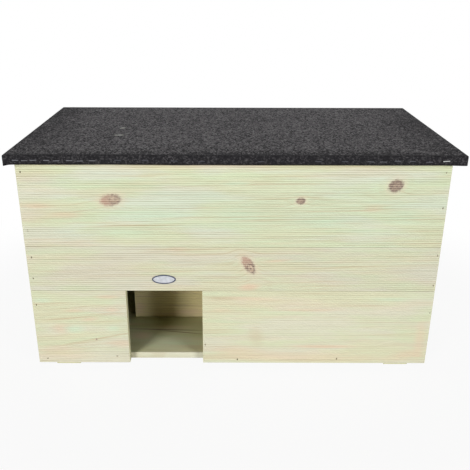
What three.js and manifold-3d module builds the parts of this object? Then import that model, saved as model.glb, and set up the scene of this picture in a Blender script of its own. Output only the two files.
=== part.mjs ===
// Hedgehog house: a nailed box of fine-reeded pine boards on two runners. A doorway is cut through the lowest front
// board, a baffle and its side wall screen the nest from it, and the flat felt-covered roof is hinged at the back.
// Millimetres, +Z up. The origin is on the ground under the middle of the roof, and the doorway faces -Y.

import * as THREE from 'three';
import { mergeVertices } from 'three/addons/utils/BufferGeometryUtils.js';
import Module from 'manifold-3d';

const wasm = await Module();
wasm.setup();

// Clearances: between pieces that lie against each other, and how far a cutter passes what it cuts
const fitGap = 0.3;
const overrun = 1;

// Outer walls
const bodyWidth = 570;
const bodyDepth = 299;
const boardThickness = 12;
const wideBoard = 119;
const narrowBoard = 67;

// Reeds milled along the outer face of every wall board
const reedPitch = 3.13;
const reedDepth = 0.6;
const reedShoulderShare = 0.28;

// Doorway, as high as the lowest board
const doorInset = 134;
const doorWidth = 108;

// Floor boards and the runners that carry them
const floorThickness = 10;
const runnerHeight = 10;
const runnerWidth = 36;
const runnerInset = 21.5;

// Baffle across the doorway, with a way round its free end
const porchDepth = 106;
const passageWidth = 115;
const innerWallDrop = 4;

// Roof, which lies a little to the right of the walls' middle
const overhang = 12.75;
const roofShift = 2.1;
const panelThickness = 10;
const feltThickness = 2.5;
const feltFoldRadius = 3;
const feltCornerRadius = 4;
const feltFoldSteps = 3;

// Butt hinges between the rear wall and the roof
const hingeLength = 40;
const hingeInset = 110;
const leafWidth = 30;
const leafThickness = 1.5;
const leafCornerRadius = 3;
const leafCornerSteps = 3;
const pinRadius = 1.5;
const pinPlay = 0.15;
const pinHeadRadius = 2.6;
const pinHeadHeight = 1.2;
const knuckleCount = 5;
const knuckleGap = 0.4;
const barrelSegments = 20;

// Countersunk screws of the hinges
const screwLength = 10;
const screwRadius = 1.4;
const screwHeadRadius = 2.8;
const screwTipLength = 2.4;
const screwPlay = 0.2;
const screwSpacing = 24;
const screwLine = 21.5;
const screwsPerLeaf = 2;
const screwSegments = 14;

// Levels and faces that the pieces share
const wallBottom = runnerHeight;
const wallTop = wallBottom + wideBoard + fitGap + narrowBoard + fitGap + wideBoard;
const floorTop = wallBottom + floorThickness;
const innerWidth = bodyWidth - 2 * boardThickness;
const innerDepth = bodyDepth - 2 * boardThickness;
const roofUnderside = wallTop + fitGap;
const panelTop = roofUnderside + panelThickness;
const feltTop = panelTop + fitGap + feltThickness;
const doorLeft = -bodyWidth / 2 + doorInset;
const doorRight = doorLeft + doorWidth;
const baffleFront = -innerDepth / 2 + porchDepth;
const baffleLeft = -innerWidth / 2 + passageWidth;
const barrelRadius = pinRadius + pinPlay + leafThickness;
const pinY = bodyDepth / 2 + fitGap + barrelRadius;
const pinZ = roofUnderside - fitGap - barrelRadius;
const knucklePitch = hingeLength / knuckleCount;

// Colours
const pineTop = { color: 0xd9dcb6, roughness: 0.82, metalness: 0 };
const pineMiddle = { color: 0xd6d2a9, roughness: 0.82, metalness: 0 };
const pineLower = { color: 0xdfd3a8, roughness: 0.82, metalness: 0 };
const pineInside = { color: 0xcfc393, roughness: 0.85, metalness: 0 };
const plywood = { color: 0xb99a68, roughness: 0.85, metalness: 0 };
const felt = { color: 0x2f3034, roughness: 0.97, metalness: 0 };
const zinc = { color: 0xa8abad, roughness: 0.42, metalness: 1 };

// Geometry in, solid out, and back, for the cuts and joins
function toSolid(geometry) {
  const bare = geometry.clone();
  bare.deleteAttribute('normal');
  bare.deleteAttribute('uv');
  const merged = mergeVertices(bare);
  const corners = merged.index.array;
  const kept = [];
  for (let i = 0; i < corners.length; i += 3) {
    const [a, b, c] = corners.slice(i, i + 3);
    if (a !== b && b !== c && c !== a) {
      kept.push(a, b, c);
    }
  }
  return new wasm.Manifold(new wasm.Mesh({
    numProp: 3,
    vertProperties: new Float32Array(merged.attributes.position.array),
    triVerts: new Uint32Array(kept),
  }));
}

function toGeometry(solid) {
  const mesh = solid.getMesh();
  const geometry = new THREE.BufferGeometry();
  geometry.setAttribute('position', new THREE.BufferAttribute(mesh.vertProperties, 3));
  geometry.setIndex(new THREE.BufferAttribute(mesh.triVerts, 1));
  geometry.computeVertexNormals();
  return geometry;
}

function join(geometries) {
  return toGeometry(geometries.map(toSolid).reduce((whole, piece) => whole.add(piece)));
}

// Cuts a placed mesh with cutters that are given in the house's own frame
function carve(mesh, cutters) {
  mesh.updateWorldMatrix(true, false);
  const toLocal = mesh.matrixWorld.clone().invert();
  let solid = toSolid(mesh.geometry);
  for (const cutter of cutters) {
    solid = solid.subtract(toSolid(cutter.clone().applyMatrix4(toLocal)));
  }
  mesh.geometry = toGeometry(solid);
}

function named(name, geometry, finish) {
  const mesh = new THREE.Mesh(geometry, new THREE.MeshStandardMaterial(finish));
  mesh.name = name;
  return mesh;
}

// A plain block from its lowest to its highest corner
function block(x0, x1, y0, y1, z0, z1) {
  const geometry = new THREE.BoxGeometry(x1 - x0, y1 - y0, z1 - z0);
  return geometry.translate((x0 + x1) / 2, (y0 + y1) / 2, (z0 + z1) / 2);
}

// A profile drawn with its first axis along Y and its second along Z, drawn out along X from x0 to x1
function alongX(profile, x0, x1, curveSegments) {
  const geometry = new THREE.ExtrudeGeometry(profile, { depth: x1 - x0, bevelEnabled: false, curveSegments });
  const turned = new THREE.Matrix4().makeBasis(
    new THREE.Vector3(0, 1, 0),
    new THREE.Vector3(0, 0, 1),
    new THREE.Vector3(1, 0, 0),
  );
  return geometry.applyMatrix4(turned).translate(x0, 0, 0);
}

// The section of a wall board: a flat back, and reeds over the whole of its outer face, which looks to -Y. Each reed
// is a flat crest between two sloping flanks, and a half groove at each edge makes the line between two boards.
function reededSection(width) {
  const reeds = Math.max(1, Math.round(width / reedPitch));
  const pitch = width / reeds;
  const section = new THREE.Shape();
  section.moveTo(reedDepth, 0);
  section.lineTo(boardThickness, 0);
  section.lineTo(boardThickness, width);
  section.lineTo(reedDepth, width);
  for (let i = reeds; i > 0; i -= 1) {
    const groove = (i - 1) * pitch;
    section.lineTo(0, groove + pitch * (1 - reedShoulderShare));
    section.lineTo(0, groove + pitch * reedShoulderShare);
    if (i > 1) {
      section.lineTo(reedDepth, groove);
    }
  }
  return section;
}

// One reeded board from x0 to x1 along its wall, with its crests on the plane y = face
function board(name, x0, x1, face, bottom, width, finish) {
  const geometry = alongX(reededSection(width), x0, x1);
  return named(name, geometry.translate(0, face, bottom), finish);
}

// The heights of the three courses of boards, from the ground up
const courses = [
  { course: 'lower', bottom: wallBottom, width: wideBoard, finish: pineLower },
  { course: 'middle', bottom: wallBottom + wideBoard + fitGap, width: narrowBoard, finish: pineMiddle },
  { course: 'top', bottom: wallTop - wideBoard, width: wideBoard, finish: pineTop },
];

// A wall of three boards one on another, turned about the house's middle so that its reeds look outwards
function outerWall(side, turn, distance, length) {
  const wall = new THREE.Group();
  for (const { course, bottom, width, finish } of courses) {
    wall.add(board(`${side}_${course}_board`, -length / 2, length / 2, -distance, bottom, width, finish));
  }
  wall.rotation.z = turn;
  return wall;
}

// The front wall's lowest course is two boards, one on each side of the doorway
function frontWall() {
  const wall = outerWall('front', 0, bodyDepth / 2, bodyWidth);
  const [{ bottom, width, finish }] = courses;
  wall.remove(wall.getObjectByName('front_lower_board'));
  const face = -bodyDepth / 2;
  wall.add(board('front_lower_left_board', -bodyWidth / 2, doorLeft, face, bottom, width, finish));
  wall.add(board('front_lower_right_board', doorRight, bodyWidth / 2, face, bottom, width, finish));
  return wall;
}

// Floor boards run from side to side between the walls. The front one is a wide board, the others share the rest.
function floor() {
  const group = new THREE.Group();
  const halfWidth = innerWidth / 2 - fitGap;
  const front = -innerDepth / 2 + fitGap;
  const rest = (innerDepth - 2 * fitGap - wideBoard) / 2;
  const boards = [
    ['floor_front_board', front, wideBoard],
    ['floor_middle_board', front + wideBoard + fitGap, rest - fitGap],
    ['floor_rear_board', front + wideBoard + rest + fitGap, rest - fitGap],
  ];
  for (const [name, start, width] of boards) {
    const geometry = block(-halfWidth, halfWidth, start, start + width, wallBottom, floorTop);
    group.add(named(name, geometry, pineInside));
  }
  return group;
}

// Runners lie under the floor boards from front to back, and are the feet of the house
function runner(name, side) {
  const middle = side * (bodyWidth / 2 - runnerInset - runnerWidth / 2);
  const halfLength = innerDepth / 2 - fitGap;
  const x0 = middle - runnerWidth / 2;
  const geometry = block(x0, x0 + runnerWidth, -halfLength, halfLength, 0, runnerHeight - fitGap);
  return named(name, geometry, pineInside);
}

// The courses of the inner walls stand on the floor, and the upper one is cut down to clear the roof
const innerCourses = [
  { course: 'lower', bottom: floorTop + fitGap, width: wideBoard },
  { course: 'middle', bottom: floorTop + wideBoard + 2 * fitGap, width: narrowBoard },
];
const upperBottom = floorTop + wideBoard + narrowBoard + 3 * fitGap;
innerCourses.push({ course: 'upper', bottom: upperBottom, width: wallTop - innerWallDrop - upperBottom });

// The baffle faces the doorway and ends in line with the outside of its side wall
function baffle() {
  const group = new THREE.Group();
  for (const { course, bottom, width } of innerCourses) {
    const end = doorRight + boardThickness;
    group.add(board(`baffle_${course}_board`, baffleLeft, end, baffleFront, bottom, width, pineInside));
  }
  return group;
}

// The side wall of the porch runs from the front wall to the baffle, flush with the doorway's right edge
function baffleSide() {
  const group = new THREE.Group();
  const halfLength = porchDepth / 2 - fitGap;
  for (const { course, bottom, width } of innerCourses) {
    group.add(board(`baffle_side_${course}_board`, -halfLength, halfLength, 0, bottom, width, pineInside));
  }
  group.rotation.z = -Math.PI / 2;
  group.position.set(doorRight, -innerDepth / 2 + porchDepth / 2, 0);
  return group;
}

// The roof panel, and the felt that covers its top and folds down over its edges
function roofPanel() {
  const halfWidth = bodyWidth / 2 + overhang - feltThickness - fitGap;
  const halfDepth = bodyDepth / 2 + overhang - feltThickness - fitGap;
  const geometry = block(-halfWidth, halfWidth, -halfDepth, halfDepth, roofUnderside, panelTop);
  return named('roof_panel', geometry.translate(roofShift, 0, 0), plywood);
}

function roundedRectangle(halfWidth, halfDepth, radius) {
  const outline = new THREE.Shape();
  outline.moveTo(halfWidth, -halfDepth + radius);
  outline.absarc(halfWidth - radius, halfDepth - radius, radius, 0, Math.PI / 2);
  outline.absarc(-halfWidth + radius, halfDepth - radius, radius, Math.PI / 2, Math.PI);
  outline.absarc(-halfWidth + radius, -halfDepth + radius, radius, Math.PI, 1.5 * Math.PI);
  outline.absarc(halfWidth - radius, -halfDepth + radius, radius, 1.5 * Math.PI, 2 * Math.PI);
  return outline;
}

function roofFelt() {
  const halfWidth = bodyWidth / 2 + overhang;
  const halfDepth = bodyDepth / 2 + overhang;
  const height = feltTop - roofUnderside;
  const shell = new THREE.ExtrudeGeometry(roundedRectangle(halfWidth, halfDepth, feltCornerRadius), {
    depth: height,
    bevelThickness: feltFoldRadius,
    bevelSize: feltFoldRadius,
    bevelOffset: -feltFoldRadius,
    bevelSegments: feltFoldSteps,
    curveSegments: feltFoldSteps,
  });
  shell.translate(0, 0, roofUnderside - feltFoldRadius);
  const sheet = named('roof_felt', shell, felt);
  const below = block(
    -halfWidth - overrun, halfWidth + overrun, -halfDepth - overrun, halfDepth + overrun,
    roofUnderside - 2 * feltFoldRadius - overrun, roofUnderside,
  );
  const inside = block(
    -halfWidth + feltThickness, halfWidth - feltThickness, -halfDepth + feltThickness, halfDepth - feltThickness,
    roofUnderside - overrun, panelTop + fitGap,
  );
  carve(sheet, [below, inside]);
  sheet.position.x = roofShift;
  return sheet;
}

// A hinge leaf, with the pin along X through the origin: the plate hangs down on the wall side of the barrel, and
// rolls over the pin in the knuckles that its slots name
function hingeLeaf(name, slots) {
  const innerSide = -barrelRadius + leafThickness;
  const plateTop = -barrelRadius - knuckleGap;
  const plate = new THREE.Shape();
  plate.moveTo(-hingeLength / 2, plateTop);
  plate.lineTo(-hingeLength / 2, -leafWidth + leafCornerRadius);
  plate.absarc(-hingeLength / 2 + leafCornerRadius, -leafWidth + leafCornerRadius, leafCornerRadius,
    Math.PI, 1.5 * Math.PI);
  plate.absarc(hingeLength / 2 - leafCornerRadius, -leafWidth + leafCornerRadius, leafCornerRadius,
    1.5 * Math.PI, 2 * Math.PI);
  plate.lineTo(hingeLength / 2, plateTop);
  const sheet = new THREE.ExtrudeGeometry(plate, {
    depth: leafThickness, bevelEnabled: false, curveSegments: leafCornerSteps,
  });
  sheet.rotateX(Math.PI / 2).translate(0, innerSide, 0);

  const curl = new THREE.Shape();
  const meets = Math.acos(innerSide / barrelRadius);
  curl.moveTo(-barrelRadius, plateTop - leafThickness);
  curl.absarc(0, 0, barrelRadius, Math.PI, -meets, true);
  curl.lineTo(innerSide, plateTop - leafThickness);
  const bore = new THREE.Path();
  bore.absarc(0, 0, pinRadius + pinPlay, 0, 2 * Math.PI);
  curl.holes.push(bore);

  const pieces = [sheet];
  for (const slot of slots) {
    const start = -hingeLength / 2 + slot * knucklePitch;
    pieces.push(alongX(curl, start + knuckleGap / 2, start + knucklePitch - knuckleGap / 2, barrelSegments / 2));
  }
  return named(name, join(pieces), zinc);
}

// The pin, with a flat head outside the last knuckle at each end
function hingePin(name) {
  const shank = hingeLength / 2 + fitGap;
  const end = shank + pinHeadHeight;
  const profile = [
    [0, -end], [pinHeadRadius, -end], [pinHeadRadius, -shank], [pinRadius, -shank],
    [pinRadius, shank], [pinHeadRadius, shank], [pinHeadRadius, end], [0, end],
  ];
  const points = profile.map(([radius, along]) => new THREE.Vector2(radius, along));
  return named(name, new THREE.LatheGeometry(points, barrelSegments).rotateZ(-Math.PI / 2), zinc);
}

// A countersunk screw with the top of its head at the origin and its tip towards -Y, and the bore that takes it
function screw() {
  const cone = screwHeadRadius - screwRadius;
  const profile = [
    [0, -screwLength], [screwRadius, -screwLength + screwTipLength], [screwRadius, -cone], [screwHeadRadius, 0], [0, 0],
  ];
  return new THREE.LatheGeometry(profile.map(([radius, along]) => new THREE.Vector2(radius, along)), screwSegments);
}

function screwBore() {
  const cone = screwHeadRadius - screwRadius;
  const bottom = -screwLength - fitGap;
  const profile = [
    [0, bottom], [screwRadius + screwPlay, bottom], [screwRadius + screwPlay, -cone],
    [screwHeadRadius + screwPlay, 0], [screwHeadRadius + screwPlay, overrun], [0, overrun],
  ];
  return new THREE.LatheGeometry(profile.map(([radius, along]) => new THREE.Vector2(radius, along)), screwSegments);
}

// One leaf with its screws, as a group about the pin. The roof leaf is the wall leaf swung forwards under the roof.
function leafGroup(side, leaf, slots, turn, where) {
  const group = new THREE.Group();
  group.position.copy(where);
  group.rotation.x = turn;
  group.add(hingeLeaf(`${side}_hinge_${leaf}_leaf`, slots));
  for (let i = 0; i < screwsPerLeaf; i += 1) {
    const fastener = named(`${side}_hinge_${leaf}_screw_${i + 1}`, screw(), zinc);
    const along = screwsPerLeaf > 1 ? i / (screwsPerLeaf - 1) - 1 / 2 : 0;
    fastener.position.set(along * screwSpacing, -barrelRadius + leafThickness, -screwLine);
    group.add(fastener);
  }
  return group;
}

// The bores for a leaf's screws, in the house's frame
function boresOf(group) {
  group.updateWorldMatrix(true, true);
  const screws = group.children.filter((child) => child.name.includes('_screw_'));
  return screws.map((fastener) => screwBore().applyMatrix4(fastener.matrixWorld));
}

// The recess in the rear wall's top edge that the roof leaf lies in
function leafRecess(x) {
  const reach = hingeLength / 2 + 2 * fitGap;
  const outer = bodyDepth / 2;
  const floorLevel = roofUnderside - leafThickness - 2 * fitGap;
  return block(x - reach, x + reach, outer - boardThickness - overrun, outer + overrun, floorLevel, wallTop + overrun);
}

// The whole house
const house = new THREE.Group();
house.add(frontWall());
house.add(outerWall('rear', Math.PI, bodyDepth / 2, bodyWidth));
house.add(outerWall('left', -Math.PI / 2, bodyWidth / 2, innerDepth - 2 * fitGap));
house.add(outerWall('right', Math.PI / 2, bodyWidth / 2, innerDepth - 2 * fitGap));
house.add(floor());
house.add(runner('left_runner', -1));
house.add(runner('right_runner', 1));
house.add(baffle());
house.add(baffleSide());
house.add(roofPanel());
house.add(roofFelt());

const slots = [...Array(knuckleCount).keys()];
for (const [side, sign] of [['left', -1], ['right', 1]]) {
  const where = new THREE.Vector3(sign * (bodyWidth / 2 - hingeInset), pinY, pinZ);
  const wallLeaf = leafGroup(side, 'wall', slots.filter((slot) => slot % 2 === 0), 0, where);
  const roofLeaf = leafGroup(side, 'roof', slots.filter((slot) => slot % 2 === 1), -Math.PI / 2, where);
  const pin = hingePin(`${side}_hinge_pin`);
  pin.position.copy(where);
  house.add(wallLeaf, roofLeaf, pin);
  carve(wallLeaf.children[0], boresOf(wallLeaf));
  carve(roofLeaf.children[0], boresOf(roofLeaf));
  carve(house.getObjectByName('rear_top_board'), [leafRecess(where.x), ...boresOf(wallLeaf)]);
  carve(house.getObjectByName('roof_panel'), boresOf(roofLeaf));
}

// The origin lies under the middle of the roof
house.position.x = -roofShift;

export default house;
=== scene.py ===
"""Hedgehog house: fine meshes, finishes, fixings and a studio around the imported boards, roof and hinges."""

import math
import random
from collections import namedtuple

import bmesh
import bpy
from bpy.props import FloatProperty, FloatVectorProperty, IntProperty, PointerProperty
from mathutils import Matrix, Vector, noise


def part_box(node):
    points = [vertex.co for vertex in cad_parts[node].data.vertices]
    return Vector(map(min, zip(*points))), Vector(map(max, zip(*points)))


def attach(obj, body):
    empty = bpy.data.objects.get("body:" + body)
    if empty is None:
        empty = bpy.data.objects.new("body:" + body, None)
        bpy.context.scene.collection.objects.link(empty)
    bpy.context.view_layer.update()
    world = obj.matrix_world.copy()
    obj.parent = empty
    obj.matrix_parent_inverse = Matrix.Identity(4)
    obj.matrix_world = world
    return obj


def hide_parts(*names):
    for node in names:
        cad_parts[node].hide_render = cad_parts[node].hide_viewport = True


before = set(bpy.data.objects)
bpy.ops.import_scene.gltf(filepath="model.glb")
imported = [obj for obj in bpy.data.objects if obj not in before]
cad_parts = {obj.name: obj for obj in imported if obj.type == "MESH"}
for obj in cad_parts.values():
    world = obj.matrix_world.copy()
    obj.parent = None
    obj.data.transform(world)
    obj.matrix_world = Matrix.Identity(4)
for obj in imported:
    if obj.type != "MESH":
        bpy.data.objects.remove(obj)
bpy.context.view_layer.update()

bl_info = {
    "name": "Hedgehog House",
    "version": (1, 0, 0),
    "blender": (4, 5, 0),
    "location": "3D View > Sidebar > Hedgehog House",
    "description": "Dresses the boards, roof, hinges and fixings of a wooden hedgehog house",
    "category": "Add Mesh",
}

MM = 0.001
QUARTER = math.pi / 2

# Points that lie closer than this are one point, and points that lie within this of a face are on it
SAME_POINT = 0.001 * MM
ON_FACE = 0.01 * MM

WALL_LOW, WALL_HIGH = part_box("front_top_board")
HOUSE_X = (WALL_LOW.x + WALL_HIGH.x) / 2


# Sizes and colours

def length(name, description, default):
    """A length in metres, shown with four decimals."""
    return FloatProperty(name=name, description=description, default=default, unit="LENGTH", precision=4)


def share(name, description, default):
    """A share between nothing and all."""
    return FloatProperty(name=name, description=description, default=default, min=0, max=1, subtype="FACTOR")


def angle(name, description, degrees):
    """An angle, written in degrees."""
    return FloatProperty(name=name, description=description, default=math.radians(degrees), subtype="ANGLE")


def power(name, description, default):
    """A lamp's power in watts."""
    return FloatProperty(name=name, description=description, default=default, min=0, unit="POWER")


def colour(name, description, default):
    """A colour that is written as it looks on the screen, and kept as the light that it sends back."""
    linear = [value / 12.92 if value <= 0.04045 else ((value + 0.055) / 1.055) ** 2.4 for value in default]
    return FloatVectorProperty(
        name=name, description=description, default=linear, size=3, min=0, max=1, subtype="COLOR"
    )


class HouseWood(bpy.types.PropertyGroup):
    """The milled boards and their pine."""

    reed_pitch: length("Reed pitch", "Height of one reed on the face of a board", 3.13 * MM)
    reed_depth: length("Reed depth", "Depth of the groove between two reeds", 0.6 * MM)
    reed_steps: IntProperty(name="Reed steps", description="Facets over one reed", default=6, min=2, max=12)
    reed_fullness: FloatProperty(
        name="Reed fullness", description="Lower values make a flatter crest", default=0.55, min=0.2, max=1
    )
    end_chamfer: length("End chamfer", "Edge broken at the sawn ends", 0.5 * MM)
    plank_chamfer: length("Plank chamfer", "Edge broken along the planed boards", 0.9 * MM)
    groove_shade: share("Groove shade", "How much of the groove tone shows at the bottom of a groove", 0.80)
    groove_width: share("Groove width", "Part of a reed's rise that the groove tone reaches", 0.60)
    ring_strength: share("Ring strength", "How clearly the growth rings show", 0.16)
    streak_strength: share("Streak strength", "How clearly the tan streaks show", 0.60)
    top_tone: colour("Top board", "Pale wood of the top boards", (0.822, 0.849, 0.780))
    middle_tone: colour("Middle board", "Pale wood of the middle boards", (0.817, 0.814, 0.746))
    lower_tone: colour("Lower board", "Pale wood of the lowest boards", (0.830, 0.827, 0.747))
    inside_tone: colour("Inner board", "Pale wood of the baffle", (0.855, 0.815, 0.612))
    # The side wall's pine, painted darker than the baffle's as painted shade
    shaded_side_tone: colour("Side board", "Darker wood of the baffle's side wall", (0.660, 0.580, 0.360))
    planed_tone: colour("Planed board", "Pale wood of the floor and the runners", (0.702, 0.716, 0.535))
    cast_tone: colour("Olive cast", "Wood where a little of the preservative shows", (0.800, 0.850, 0.700))
    green_tone: colour("Green patches", "Wood where most of the preservative shows", (0.790, 0.868, 0.765))
    late_tone: colour("Latewood", "Dark side of a growth ring", (0.770, 0.700, 0.580))
    streak_tone: colour("Streak", "Tan streaks along the grain", (0.752, 0.695, 0.580))
    blush_tone: colour("Blush", "Pinkish wood that the preservative didn't reach", (0.872, 0.772, 0.680))
    # The groove tones: painted shade in the grooves, tinted green by preservative and tan by dust
    groove_green_shade: colour("Green groove", "Shade that preservative leaves in a groove", (0.700, 0.709, 0.610))
    groove_tan_shade: colour("Tan groove", "Shade that dust leaves in a groove", (0.738, 0.693, 0.597))
    knot_tone: colour("Knot", "Middle of a knot", (0.780, 0.690, 0.600))
    flush_tone: colour("Knot flush", "The end of a knot that fades into the wood", (0.690, 0.555, 0.490))
    bark_tone: colour("Knot rim", "Dark wood and bark of a knot", (0.430, 0.340, 0.320))
    pale_tone: colour("Pale fleck", "Pale wood in and around a knot", (0.860, 0.800, 0.710))
    end_tone: colour("End grain", "Sawn ends", (0.780, 0.772, 0.630))


class HouseRoof(bpy.types.PropertyGroup):
    """The roof board and its mineral felt."""

    felt_thickness: length("Felt thickness", "Thickness of the felt sheet", 1.7 * MM)
    fold_radius: length("Fold radius", "Radius of the felt where it folds down", 1.6 * MM)
    # Fewer granules and painted shade darken the felt this far in from its edges
    fold_reach: length(
        "Fold reach", "How far in from the sides the granules are thin, twice that front and rear", 4.5 * MM
    )
    # How far in and how much the felt darkens towards its side edges and its front
    edge_dark_reach: length("Rub reach", "How far in from the sides the felt darkens, half that in front", 80 * MM)
    edge_darkening: share("Rub shade", "How much darker the felt is beside its edges", 0.17)
    sharp_corner: length("Sharp corner", "Radius of the tightly folded corners", 1.2 * MM)
    soft_corner: length("Soft corner", "Radius of the loosely folded front right corner", 3.0 * MM)
    mesh_step: length("Mesh step", "Spacing of the felt's mesh", 3.6 * MM)
    lap_reach: length("Lap reach", "How far the front and rear flaps reach round a corner", 34 * MM)
    lap_step: length("Lap step", "How far a flap stands out from the flap under it", 0.4 * MM)
    unevenness: length("Unevenness", "How much the felt wanders in and out", 0.15 * MM)
    hem_wave: length("Hem wave", "How much the cut edge wanders up and down", 0.9 * MM)
    hem_tongue: length("Hem tongue", "How far the front left corner hangs below the hem", 1.6 * MM)
    tongue_reach: length("Tongue reach", "How far the hanging corner reaches along the hem", 5.0 * MM)
    granule: length("Granule", "Size of one mineral granule", 1.6 * MM)
    staple_dent: length("Staple dent", "How far a staple pulls the felt in", 0.55 * MM)
    dent_reach: length("Dent reach", "How far a staple's dent spreads", 4.0 * MM)
    # Fewer granules and painted shade on the hanging flaps
    fold_shade: share("Fold shade", "How many granules are lost where the felt hangs down", 0.77)
    dark_tone: colour("Dark granules", "Most of the mineral granules", (0.130, 0.125, 0.135))
    pale_tone: colour("Pale granules", "The lighter mineral granules", (0.570, 0.560, 0.565))
    scuff_tone: colour("Scuffs", "Where the granules are rubbed off", (0.820, 0.830, 0.790))
    ply_tone: colour("Plywood face", "Face veneer of the roof board", (0.780, 0.670, 0.500))
    ply_dark: colour("Plywood grain", "Dark grain of the roof board", (0.610, 0.470, 0.310))


class HouseMetal(bpy.types.PropertyGroup):
    """Hinges, screws, nails and staples."""

    zinc_tone: colour("Zinc", "Zinc plating on the hinges and screws", (0.800, 0.810, 0.815))
    wire_tone: colour("Wire", "Galvanised wire of the staples", (0.830, 0.835, 0.830))
    tarnish_tone: colour("Tarnish", "Wire that has gone dull", (0.260, 0.260, 0.290))
    nail_tone: colour("Nail", "Weathered heads of the nails", (0.470, 0.425, 0.310))
    leaf_thickness: length("Leaf thickness", "Thickness of a hinge leaf", 1.5 * MM)
    edge_break: length("Edge break", "Edge broken on the hinge leaves", 0.12 * MM)
    nail_width: length("Nail width", "Width of a nail's oblong head", 1.4 * MM)
    nail_height: length("Nail height", "Height of a nail's oblong head", 2.8 * MM)
    staple_crown: length("Staple crown", "Outer width of a staple", 9.0 * MM)
    staple_leg: length("Staple leg", "Depth of a staple's leg", 3.0 * MM)
    staple_wire: length("Staple wire", "Width of a staple's flat wire", 1.0 * MM)
    staple_rise: length("Staple rise", "Height of a staple's line above the felt's lower edge", 5.6 * MM)
    recess_size: length("Cross recess", "Reach of the cross recess in a screw's head", 1.75 * MM)


class HousePlate(bpy.types.PropertyGroup):
    """The blank oval plate above the doorway."""

    width: length("Plate width", "Width of the oval plate", 33.0 * MM)
    height: length("Plate height", "Height of the oval plate", 14.0 * MM)
    thickness: length("Plate thickness", "Thickness of the oval plate", 0.9 * MM)
    across: length("Plate across", "Place of the plate's middle from the middle of the house", -96.3 * MM)
    up: length("Plate up", "Height of the plate's middle above the ground", 147.4 * MM)
    field_tone: colour("Plate field", "Enamel of the plate's field", (0.800, 0.810, 0.830))
    rim_tone: colour("Plate rim", "Enamel of the plate's rim", (0.300, 0.320, 0.400))


class HouseStage(bpy.types.PropertyGroup):
    """Camera, lamps and floor."""

    lens: FloatProperty(
        name="Lens", description="Focal length on a 36 mm frame, in mm", default=47.8, min=1, unit="CAMERA"
    )
    shift: FloatProperty(name="Shift", description="Sideways shift, as a share of the frame", default=0.0188)
    tilt: angle("Tilt", "How far the camera looks down", 22.233)
    roll: angle("Roll", "How far the camera leans to one side", 0.16)
    across: length("Camera across", "Camera's place from the middle of the house", -9.4 * MM)
    back: length("Camera back", "Camera's distance in front of the front wall", 784.7 * MM)
    up: length("Camera up", "Camera's height above the ground", 535.4 * MM)
    lamp_distance: length("Lamp distance", "Distance of the two main lamps", 6.0)
    lamp_size: length("Lamp size", "Edge of each main lamp", 2.0)
    left_turn: angle("Left turn", "Left lamp's angle from the front", 36)
    right_turn: angle("Right turn", "Right lamp's angle from the front", 43)
    lamp_rise: angle("Lamp rise", "Both lamps' angle above the doorway", 13.5)
    left_power: power("Left power", "Power of the left lamp", 252)
    right_power: power("Right power", "Power of the right lamp", 200)
    rear_rise: angle("Rear rise", "Rear lamp's angle above the ground behind", 50)
    rear_distance: length("Rear distance", "Distance of the rear lamp", 1.9)
    rear_size: length("Rear size", "Edge of the rear lamp", 1.2)
    rear_power: power("Rear power", "Power of the rear lamp", 12)
    fill: share("Fill", "Strength of the even light from all round", 0.03)
    floor_glow: share("Floor glow", "How much of the floor's look is plain white near the house", 0.92)
    floor_tone: colour("Floor", "Colour of the pale floor", (0.860, 0.860, 0.860))


# Material recipes

PLAIN_GLOSS = 0.3


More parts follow.
